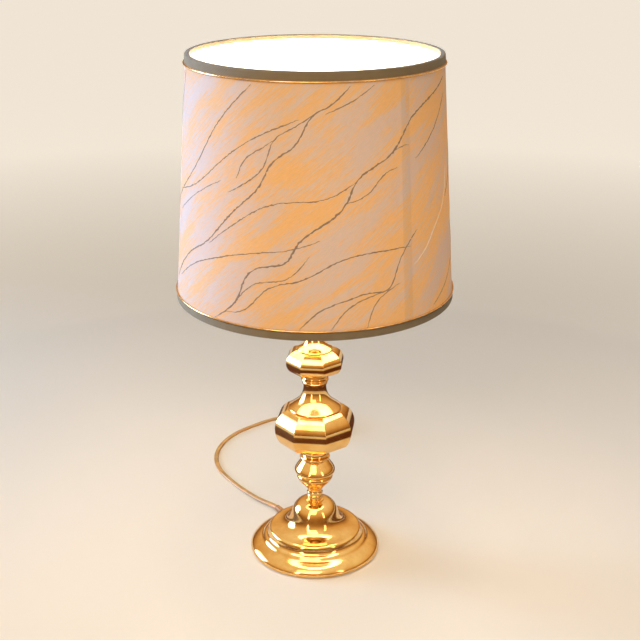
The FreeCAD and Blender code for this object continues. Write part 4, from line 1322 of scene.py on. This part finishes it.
SPUN_WALL = 1.2 * MM
BELL = TurnedPiece(
    "base_shell",
    (
        ((0.979, 0.0), (0.997, 0.026), (1.0, 0.06), (0.987, 0.102))
        + ((0.95, 0.148), (0.898, 0.19), (0.855, 0.215)),
        ((0.832, 0.224),),
        ((0.812, 0.240), (0.789, 0.273), (0.769, 0.289)),
        ((0.747, 0.299),),
        ((0.733, 0.322), (0.721, 0.359), (0.712, 0.400), (0.697, 0.436), (0.665, 0.453)),
        ((0.585, 0.464), (0.512, 0.490), (0.452, 0.536), (0.407, 0.602), (0.378, 0.684))
        + ((0.354, 0.776), (0.324, 0.865), (0.274, 0.941), (0.206, 0.987), (0.140, 1.0)),
    ),
    wall=SPUN_WALL,
    closed_top=True,
    segments=192,
)
TURNED_STEM = (
    TurnedPiece(
        "neck_bead",
        (
            ((1.0, 0.0), (1.0, 0.19)),
            ((0.77, 0.27),),
            ((0.83, 0.40), (0.86, 0.62), (0.83, 0.84), (0.75, 1.0)),
        ),
    ),
    TurnedPiece(
        "lower_vase",
        (
            ((0.39, 0.0), (0.45, 0.04)),
            ((0.45, 0.13),),
            ((0.41, 0.21), (0.52, 0.38), (0.73, 0.57), (0.91, 0.74), (0.985, 0.84)),
            ((1.0, 0.90), (0.95, 1.0)),
        ),
    ),
    TurnedPiece(
        "lower_collar",
        (((0.845, 0.0), (0.96, 0.13), (1.0, 0.26), (0.95, 0.46), (0.82, 0.69), (0.69, 0.90), (0.62, 1.0)),),
    ),
    TurnedPiece(
        "knop_foot",
        (
            ((0.47, 0.0), (0.55, 0.06)),
            ((0.565, 0.11), (0.55, 0.16)),
            ((0.46, 0.24), (0.45, 0.40), (0.56, 0.62), (0.79, 0.83), (0.97, 0.955)),
            ((1.0, 1.0),),
        ),
    ),
    TurnedPiece(
        "large_trumpet",
        (
            ((0.975, 0.0), (1.0, 0.028), (0.985, 0.06)),
            ((0.81, 0.20), (0.62, 0.38), (0.495, 0.59), (0.436, 0.80), (0.423, 1.0)),
        ),
        wall=SPUN_WALL,
        lip=True,
    ),
    TurnedPiece(
        "upper_ring",
        (
            ((0.60, 0.0), (0.667, 0.09)),
            ((0.667, 0.19),),
            ((0.63, 0.25),),
            ((0.73, 0.32),),
            ((0.745, 0.375), (0.73, 0.43)),
            ((0.65, 0.54), (0.69, 0.71), (0.86, 0.89), (0.98, 0.97)),
            ((1.0, 1.0),),
        ),
    ),
    TurnedPiece(
        "upper_trumpet",
        (
            ((0.97, 0.0), (1.0, 0.02), (0.98, 0.045)),
            ((0.69, 0.163), (0.525, 0.326), (0.465, 0.55), (0.455, 0.78), (0.455, 1.0)),
        ),
        wall=SPUN_WALL,
        lip=True,
    ),
    TurnedPiece(
        "holder_cap",
        (((0.54, 0.0), (0.56, 0.10)), ((0.62, 0.30), (0.84, 0.55), (0.97, 0.80), (1.0, 1.0))),
        wall=SPUN_WALL,
    ),
)
KNOPS = (
    Knop("large_knop", 0.457, 0.864, 0.704, -7.5),
    Knop("upper_knop", 0.422, 0.842, 0.628, -6.0, edge_radius=1.0 * MM, rim_radius=0.6 * MM),
)


@dataclass
class Stand:
    """The foot, the stem and the lampholder, with everything in them that stays still."""

    brass: tuple[TurnedPiece | Knop, ...] = (BELL, *TURNED_STEM, *KNOPS)

    def build(self) -> None:
        """Makes the brass pieces and dresses the nodes whose shapes are right as they are."""
        for piece in self.brass:
            piece.build()
        dress_nodes(FELT, "base_felt")
        dress_nodes(IRON, "base_weight")
        dress_nodes(ZINC, "base_washer", "base_nut", "threaded_tube")
        dress_nodes(PHENOLIC, "holder_body", "lower_shade_ring", "clamp_ring", "switch_bar")
        dress_nodes(PORCELAIN, "holder_insert")
        dress_nodes(CONTACT, "screw_shell", "contact_tongue")
        dress_nodes(NICKEL, "terminal_screws", "plug_pins")
        dress_nodes(CORE, "core_leads")
        dress_nodes(FLEX_SKIN, "inner_flex")


@dataclass
class Bulb:
    """The candle bulb with its metal screw cap."""

    light_power: float = 5.0
    light_hex: str = "#FFE2B8"

    def build(self) -> None:
        """Dresses the nodes and puts the light inside the glass."""
        dress_nodes(ALUMINIUM, "bulb_cap")
        dress_nodes(CONTACT, "bulb_contact")
        dress_nodes(BLACK_GLASS, "bulb_insulator")
        dress_nodes(OPAL, "bulb_glass")
        dress_nodes(GLASS, "bulb_stem")
        dress_nodes(NICKEL, "bulb_wires")
        dress_nodes(TUNGSTEN, "filament")
        bpy.data.objects["bulb_glass"].visible_shadow = False
        low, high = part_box("bulb_glass")
        data = bpy.data.lights.new("bulb_light", "POINT")
        data.energy = self.light_power
        data.color = linear(self.light_hex)[:3]
        data.shadow_soft_size = (high.x - low.x) / 2
        in_scene(bpy.data.objects.new("bulb_light", data)).location = (0.0, 0.0, (low.z + high.z) / 2)


class Yarn(Enum):
    """The two vein yarns, by the names of their pieces."""

    SLATE = "slate_veins"
    SILVER = "silver_veins"


@dataclass
class Shade:
    """The marbled cover on its white film, with wire rings, folded tape, piping and carrier."""

    bottom_radius: float = 149.0 * MM
    top_radius: float = 131.9 * MM
    seam_angle: float = SEAM_ANGLE
    lap: float = 9.0 * MM
    lap_step: float = 0.45 * MM
    lap_slope: float = 5.0 * MM
    cover_thickness: float = 0.5 * MM
    cover_rows: int = 28
    cover_columns: int = 300
    wave_depth: float = 0.25 * MM
    wave_scale: Share = (2.1, 9.0)  # of the noise, round the shade and up it
    gap: float = 0.1 * MM
    band_thickness: float = 0.5 * MM
    band_height: float = 8.4 * MM
    band_inner_height: float = 4.6 * MM
    band_segments: int = 288
    # How far each corner of the tape's outline is rounded, in millimetres
    band_corners: tuple[float, ...] = (0.2, 0.25, 1.5, 1.2, 0.2, 0.2, 0.4, 0.4)
    cord_radius: float = 1.0 * MM
    cord_segments: int = 1080
    cord_sides: int = 12
    cord_twists: int = 200
    strand_depth: float = 0.10  # share of the cord's radius between two strands

    @cached_property
    def bottom_z(self) -> float:
        """The height of the shade's lower edge."""
        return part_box("bottom_band")[0].z

    @cached_property
    def top_z(self) -> float:
        """The height of the shade's upper edge."""
        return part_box("top_band")[1].z

    @property
    def lap_angle(self) -> float:
        """How far the cloth's end goes past its start, in radians."""
        return self.lap / self.top_radius

    def wall(self, z: float) -> float:
        """The outside radius of the cover at a height."""
        share = (z - self.bottom_z) / (self.top_z - self.bottom_z)
        return self.bottom_radius + (self.top_radius - self.bottom_radius) * share

    def skin(self, run: float, z: float) -> float:
        """The cover's outside radius, with its faint waves and the step of the lap.

        Args:
            run: radians round from the cloth's start, past a full turn in the lap.
            z: the height.

        Returns:
            The radius.
        """
        slope_angle = self.lap_slope / self.top_radius
        lift = clamped((run - (TURN - slope_angle)) / slope_angle)
        wave = noise.noise(polar(self.wave_scale[0], run, z * self.wave_scale[1])) * self.wave_depth
        wave *= math.sin(math.pi * (z - self.bottom_z) / (self.top_z - self.bottom_z))
        return self.wall(z) + eased(lift) * self.lap_step + wave

    def on_cloth(self, angle: float, z: float, proud: float) -> Vector:
        """The point at an angle and height that stands so far proud of the cover."""
        run = (angle - self.seam_angle + self.lap_angle / 2) % TURN
        return polar(self.skin(run + TURN if run < self.lap_angle else run, z) + proud, angle, z)

    def build(self) -> None:
        """Makes every piece of the shade and dresses the nodes that stay."""
        self.cover()
        Veins(self).build()
        self.band("top_tape", "top_band", self.top_z, -1)
        self.band("bottom_tape", "bottom_band", self.bottom_z, 1)
        self.piping("top_cord", "top_piping")
        self.piping("bottom_cord", "bottom_piping")
        dress_nodes(LINER, "shade_liner")
        dress_nodes(WHITE_WIRE, "shade_carrier", "top_wire_ring", "bottom_wire_ring")

    def cover(self) -> Object:
        """The cloth, wrapped once round with its end lapped over its start.

        Returns:
            The cover.
        """
        low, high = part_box("shade_cover")
        stride, count = self.cover_columns + 1, self.cover_rows + 1
        vertices = []
        for depth in (0.0, self.cover_thickness):
            for i in range(count):
                z = low.z + (high.z - low.z) * i / self.cover_rows
                for k in range(stride):
                    run = (TURN + self.lap_angle) * k / self.cover_columns
                    angle = self.seam_angle - self.lap_angle / 2 + run
                    vertices.append(polar(self.skin(run, z) - depth, angle, z))
        rows = [row(i * stride, stride, closed=False) for i in range(2 * count)]
        outer, inner = rows[:count], rows[count:]
        faces = sheet(outer) + sheet(inner)
        for end in (0, -1):
            faces += sheet([outer[end], inner[end]])
            faces += sheet([[numbers[end] for numbers in layer] for layer in (outer, inner)])
        cloth = mesh_piece("cover_cloth", vertices, faces, crease=50.0)
        return finish_piece(cloth, "shade", "cover_fabric", COVER, "shade_cover")

    def band(self, name: str, node: str, edge_z: float, way: int) -> Object:
        """A tape folded over the shade's edge and the wire ring inside it.

        Args:
            name: the piece's name.
            node: the node that it replaces.
            edge_z: the height of the shade's edge.
            way: 1 where the tape runs up from the edge, -1 where it runs down.

        Returns:
            The tape.
        """
        thick = self.band_thickness
        heights = (self.band_height, self.band_inner_height, thick)
        outer_z, inner_z, pocket_z = (edge_z + way * height for height in heights)
        inside = min(axis_distances(node))
        out = self.gap + thick
        places = (
            (self.wall(outer_z) + self.gap, outer_z),
            (self.wall(outer_z) + out, outer_z),
            (self.wall(edge_z) + out, edge_z),
            (inside, edge_z),
            (inside, inner_z),
            (inside + thick, inner_z),
            (inside + thick, pocket_z),
            (self.wall(pocket_z) + self.gap, pocket_z),
        )
        corners = [Vector(place) for place in places]
        profile = []
        for k, (corner, size) in enumerate(zip(corners, self.band_corners)):
            ways = [corners[k - 1] - corner, corners[(k + 1) % len(corners)] - corner]
            near = min(size * MM, *(way.length / CORNER_LIMIT for way in ways))
            start, end = (corner + way.normalized() * near for way in ways)
            profile += bend(start, corner, end, 6 if size > 1 else 3)  # more steps round the wide ones
        return finish_piece(lathe(name, profile, self.band_segments), "shade", "tape", TAPE, node)

    def piping(self, name: str, node: str) -> Object:
        """A metallic cord of three strands laid along the inner edge of the tape.

        Args:
            name: the piece's name.
            node: the node that it replaces.

        Returns:
            The piping.
        """
        low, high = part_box(node)
        centre_z = (low.z + high.z) / 2
        centre_radius = max(axis_distances(node)) - self.cord_radius
        rings = []
        for i in range(self.cord_segments):
            angle = TURN * i / self.cord_segments
            ring = []
            for k in range(self.cord_sides):
                turned = TURN * k / self.cord_sides
                strand = math.cos(3 * turned + self.cord_twists * angle)
                radius = self.cord_radius * (1 - self.strand_depth + self.strand_depth * strand)
                z = centre_z + radius * math.sin(turned)
                ring.append(polar(centre_radius + radius * math.cos(turned), angle, z))
            rings.append(ring)
        return finish_piece(ringed(name, rings, crease=80.0), "shade", "piping", PIPING, node)


@dataclass
class Veins:
    """The woven veins of the marbling: thin, slightly ragged strips just proud of the cloth."""

    shade: Shade
    seed: int = 7
    radius: float = SHADE_RADIUS
    width: float = 1.35 * MM
    height: float = 0.22 * MM
    step: float = 2.4  # millimetres between two samples
    jitter: float = 0.35  # millimetres to either side
    tip_share: float = 0.35  # of the width at both ends
    taper_samples: int = 6
    half_widths: Share = (0.28, 0.68)
    raggedness: Share = (0.6, 1.5)
    top_share: float = 0.6  # of the width that is on top
    # (yarn, share of a full vein's width, path in millimetres round from the front and up from the edge)
    paths: tuple[tuple[Yarn, float, Stroke], ...] = (
        (
            Yarn.SLATE,
            1.25,
            ((-105, 10), (-75, 40), (-70, 55), (-55, 70), (-25, 80), (-20, 90), (15, 120), (30, 135))
            + ((40, 155), (80, 180), (100, 205), (150, 230), (175, 240)),
        ),
        (Yarn.SLATE, 0.8, ((30, 135), (55, 145), (70, 160), (85, 165))),
        (Yarn.SLATE, 0.7, ((80, 180), (95, 185), (100, 185))),
        (
            Yarn.SLATE,
            1.1,
            ((-190, 30), (-145, 70), (-120, 85), (-95, 110), (-75, 130), (-55, 150), (-40, 175))
            + ((-20, 190), (0, 220), (10, 225), (35, 245)),
        ),
        (Yarn.SLATE, 0.8, ((0, 220), (-25, 205), (-40, 195), (-50, 170), (-65, 155), (-90, 140))),
        (Yarn.SLATE, 0.7, ((-40, 195), (-55, 185), (-70, 175), (-80, 155))),
        (Yarn.SLATE, 0.75, ((-115, 85), (-75, 115), (-60, 125), (-35, 135), (10, 140), (40, 155))),
        (Yarn.SLATE, 0.75, ((-175, 35), (-135, 60), (-110, 70), (-55, 85), (-25, 90), (5, 100))),
        (Yarn.SLATE, 0.9, ((-90, 20), (-70, 25), (-45, 50), (-15, 60), (25, 80), (55, 85), (100, 85))),
        (Yarn.SLATE, 0.75, ((-80, 30), (-55, 55), (-30, 60), (-5, 85))),
        (Yarn.SLATE, 0.9, ((-15, 10), (5, 30), (30, 40), (55, 45), (70, 45), (85, 70), (110, 100))),
        (Yarn.SLATE, 0.9, ((15, 10), (30, 30), (70, 45))),
        (Yarn.SLATE, 0.8, ((50, 10), (60, 35), (85, 50))),
        (Yarn.SLATE, 0.8, ((-195, 115), (-140, 160), (-110, 200), (-65, 245))),
        (Yarn.SLATE, 0.75, ((-185, 125), (-140, 140), (-105, 165), (-70, 190), (-40, 205), (-15, 215))),
        (Yarn.SLATE, 0.65, ((-180, 105), (-130, 135), (-100, 150))),
        (Yarn.SLATE, 0.8, ((110, 170), (145, 195), (175, 225))),
        (Yarn.SILVER, 0.9, ((105, 65), (120, 75), (140, 95), (165, 120), (175, 150))),
        (Yarn.SLATE, 0.75, ((60, 245), (35, 230), (10, 220))),
        (Yarn.SLATE, 0.7, ((135, 15), (155, 25), (180, 40))),
        (Yarn.SLATE, 0.9, ((180, 40), (205, 65), (225, 95), (245, 115))),
        (Yarn.SLATE, 0.8, ((170, 120), (200, 150), (225, 185), (250, 225), (258, 245))),
        (Yarn.SILVER, 0.8, ((190, 90), (215, 110), (235, 150), (240, 190))),
    )

    def build(self) -> None:
        """Weaves every path twice, half a turn apart, into one piece for each yarn."""
        rng = random.Random(self.seed)
        meshes: dict[Yarn, tuple[list, list]] = {yarn: ([], []) for yarn in Yarn}
        for offset in (0.0, math.pi * self.radius / MM):
            for yarn, weight, path in self.paths:
                vertices, faces = meshes[yarn]
                points = self.ribbon([(u + offset, v) for u, v in path], weight, rng)
                faces += capped([row(len(vertices) + i, 4) for i in range(0, len(points), 4)])
                vertices += points
        for yarn, look in ((Yarn.SLATE, VEIN), (Yarn.SILVER, PALE_VEIN)):
            finish_piece(mesh_piece(yarn.value, *meshes[yarn], crease=60.0), "shade", "cover_fabric", look)

    def ribbon(self, path: Sequence[Share], weight: float, rng: random.Random) -> list[Vector]:
        """The corners of one vein.

        Args:
            path: its points, in millimetres round and up.
            weight: its width as a share of a full vein's.
            rng: source of the raggedness.

        Returns:
            Four corners for each sample along the path.
        """
        samples = smooth_samples(path, self.step)
        last = len(samples) - 1
        points = []
        for i, sample in enumerate(samples):
            run = (samples[min(i + 1, last)] - samples[max(i - 1, 0)]).normalized()
            side = Vector((-run.y, run.x))
            centre = sample * MM + side * rng.uniform(-self.jitter, self.jitter) * MM
            taper = min(1.0, self.tip_share + (1 - self.tip_share) * min(i, last - i) / self.taper_samples)
            half = self.width * weight * taper * rng.uniform(*self.half_widths)
            left, right = (half * rng.uniform(*self.raggedness) for _ in range(2))
            sunk, proud = -self.height / 2, self.height
            top_left, top_right = -left * self.top_share, right * self.top_share
            edges = ((-left, sunk), (top_left, proud), (top_right, proud), (right, sunk))
            for edge, height in edges:
                place = centre + side * edge
                angle = FRONT + place.x / self.radius
                points.append(self.shade.on_cloth(angle, self.shade.bottom_z + place.y, height))
        return points


@dataclass(frozen=True)
class Softbox:
    """A soft rectangular lamp that the camera doesn't see.

    Attributes:
        name: its name.
        place: where it stands.
        aim: the point that it faces.
        size: its width and height.
        power: its power in watts.
        hex_colour: its colour.
        spread: how wide its beam is, in degrees.
    """

    name: str
    place: Place
    aim: Place
    size: Share
    power: float
    hex_colour: str
    spread: float = 120

    def build(self) -> None:
        """Adds the lamp."""
        data = bpy.data.lights.new(self.name, "AREA")
        data.shape = "RECTANGLE"
        data.size, data.size_y = self.size
        data.spread = math.radians(self.spread)
        data.energy = self.power
        data.color = linear(self.hex_colour)[:3]
        lamp = in_scene(bpy.data.objects.new(self.name, data))
        lamp.location = self.place
        lamp.rotation_euler = (Vector(self.aim) - Vector(self.place)).to_track_quat("-Z", "Y").to_euler()
        lamp.visible_camera = False


@dataclass
class Studio:
    """A plain pale floor and backdrop with soft light."""

    world_hex: str = "#F6F2EE"
    world_strength: float = 0.17
    backdrop_hex: str = "#EFE6D8"
    # What shiny metal sees around and above it: a warm room from brown at the horizon to pale
    room: tuple[tuple[float, str], ...] = (
        (0.0, "#6B4526"),
        (0.12, "#A97C4A"),
        (0.4, "#EBC692"),
        (0.85, "#FFF3DC"),
    )
    ring_radii: Share = (0.24, 0.85)
    ring_height: float = 0.0004
    ring_segments: int = 96
    floor_size: float = 60.0
    lamps: tuple[Softbox, ...] = (
        Softbox("window_softbox", (-1.7, 0.6, 0.75), (0.0, 0.0, 0.42), (1.0, 1.3), 8.5, "#B0D4FF", 50),
        Softbox("right_strip", (1.1, -1.1, 0.7), (0.0, 0.0, 0.2), (0.18, 0.9), 1.0, "#FFE9C8"),
        Softbox("left_strip", (-0.75, -1.3, 0.7), (0.0, 0.0, 0.2), (0.16, 0.9), 1.4, "#FFF1DC"),
        Softbox("top_softbox", (-0.3, -1.35, 1.65), (0.0, 0.0, 0.35), (1.2, 1.2), 8.4, "#FFDFB4"),
    )

    def build(self) -> None:
        """Adds the floor, the world, the lamps and the dark ring."""
        half = self.floor_size / 2
        corners = [(-half, -half, 0.0), (half, -half, 0.0), (half, half, 0.0), (-half, half, 0.0)]
        self.stage("studio_floor", corners, [(0, 1, 2, 3)], FLOOR)
        self.world()
        for lamp in self.lamps:
            lamp.build()
        self.dark_ring()

    def stage(self, name: str, vertices: Sequence, faces: Sequence[Face], look: Finish) -> Object:
        """Adds a flat piece with its material.

        Args:
            name: its name.
            vertices: its corners, in metres.
            faces: lists of corner numbers.
            look: the finish.

        Returns:
            The piece.
        """
        piece = mesh_piece(name, vertices, faces)
        piece.data.materials.append(look.material())
        return piece

    def world(self) -> None:
        """Even light from all round, with a pale backdrop where the eye looks past the floor."""
        world = bpy.data.worlds.new("studio_world")
        bpy.context.scene.world = world
        world.use_nodes = True
        tree = world.node_tree
        tree.nodes.clear()
        way = add_node(tree, "TexCoord", output="Generated")
        up = add_node(tree, "SeparateXYZ", {"Vector": way}, output="Z")
        room = add_node(tree, "ValToRGB", {"Fac": up}, self.room)
        lights = (
            (linear(self.world_hex), self.world_strength),
            (room, 1.0),
            (linear(self.backdrop_hex), 1.0),
        )
        even, mirrored, backdrop = (
            add_node(tree, "Background", {"Color": colour, "Strength": strength})
            for colour, strength in lights
        )
        lit = add_node(tree, "MixShader", {0: seen_by(tree, Ray.GLOSSY), 1: even, 2: mirrored})
        looked_past = seen_by(tree, Ray.CAMERA, Ray.TRANSMISSION)
        seen = add_node(tree, "MixShader", {0: looked_past, 1: lit, 2: backdrop})
        add_node(tree, "OutputWorld", {"Surface": seen})

    def dark_ring(self) -> None:
        """A brown ring on the floor that only shiny metal sees, so that the brass mirrors a dark band."""
        steps = self.ring_segments
        angles = [TURN * k / steps for k in range(steps)]
        vertices = [polar(radius, angle, self.ring_height) for radius in self.ring_radii for angle in angles]
        ring = self.stage("dark_ring", vertices, sheet([row(0, steps), row(steps, steps)]), DARK_CARD)
        ring.visible_camera = False
        ring.visible_diffuse = False
        ring.visible_shadow = False
        ring.visible_transmission = False


def main() -> None:
    """Builds the lamp round the fixed frame, piece by piece."""
    logging.basicConfig(level=logging.INFO, format="%(message)s")
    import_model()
    bpy.context.scene.view_settings.view_transform = "Standard"
    PhotoCamera().build()
    flex = Flex()
    curve = flex.build()
    sleeve = Sleeve(flex).build()
    plug = Plug().build()
    Stand().build()
    Bulb().build()
    Shade().build()
    Studio().build()


if __name__ == "__main__":
    main()
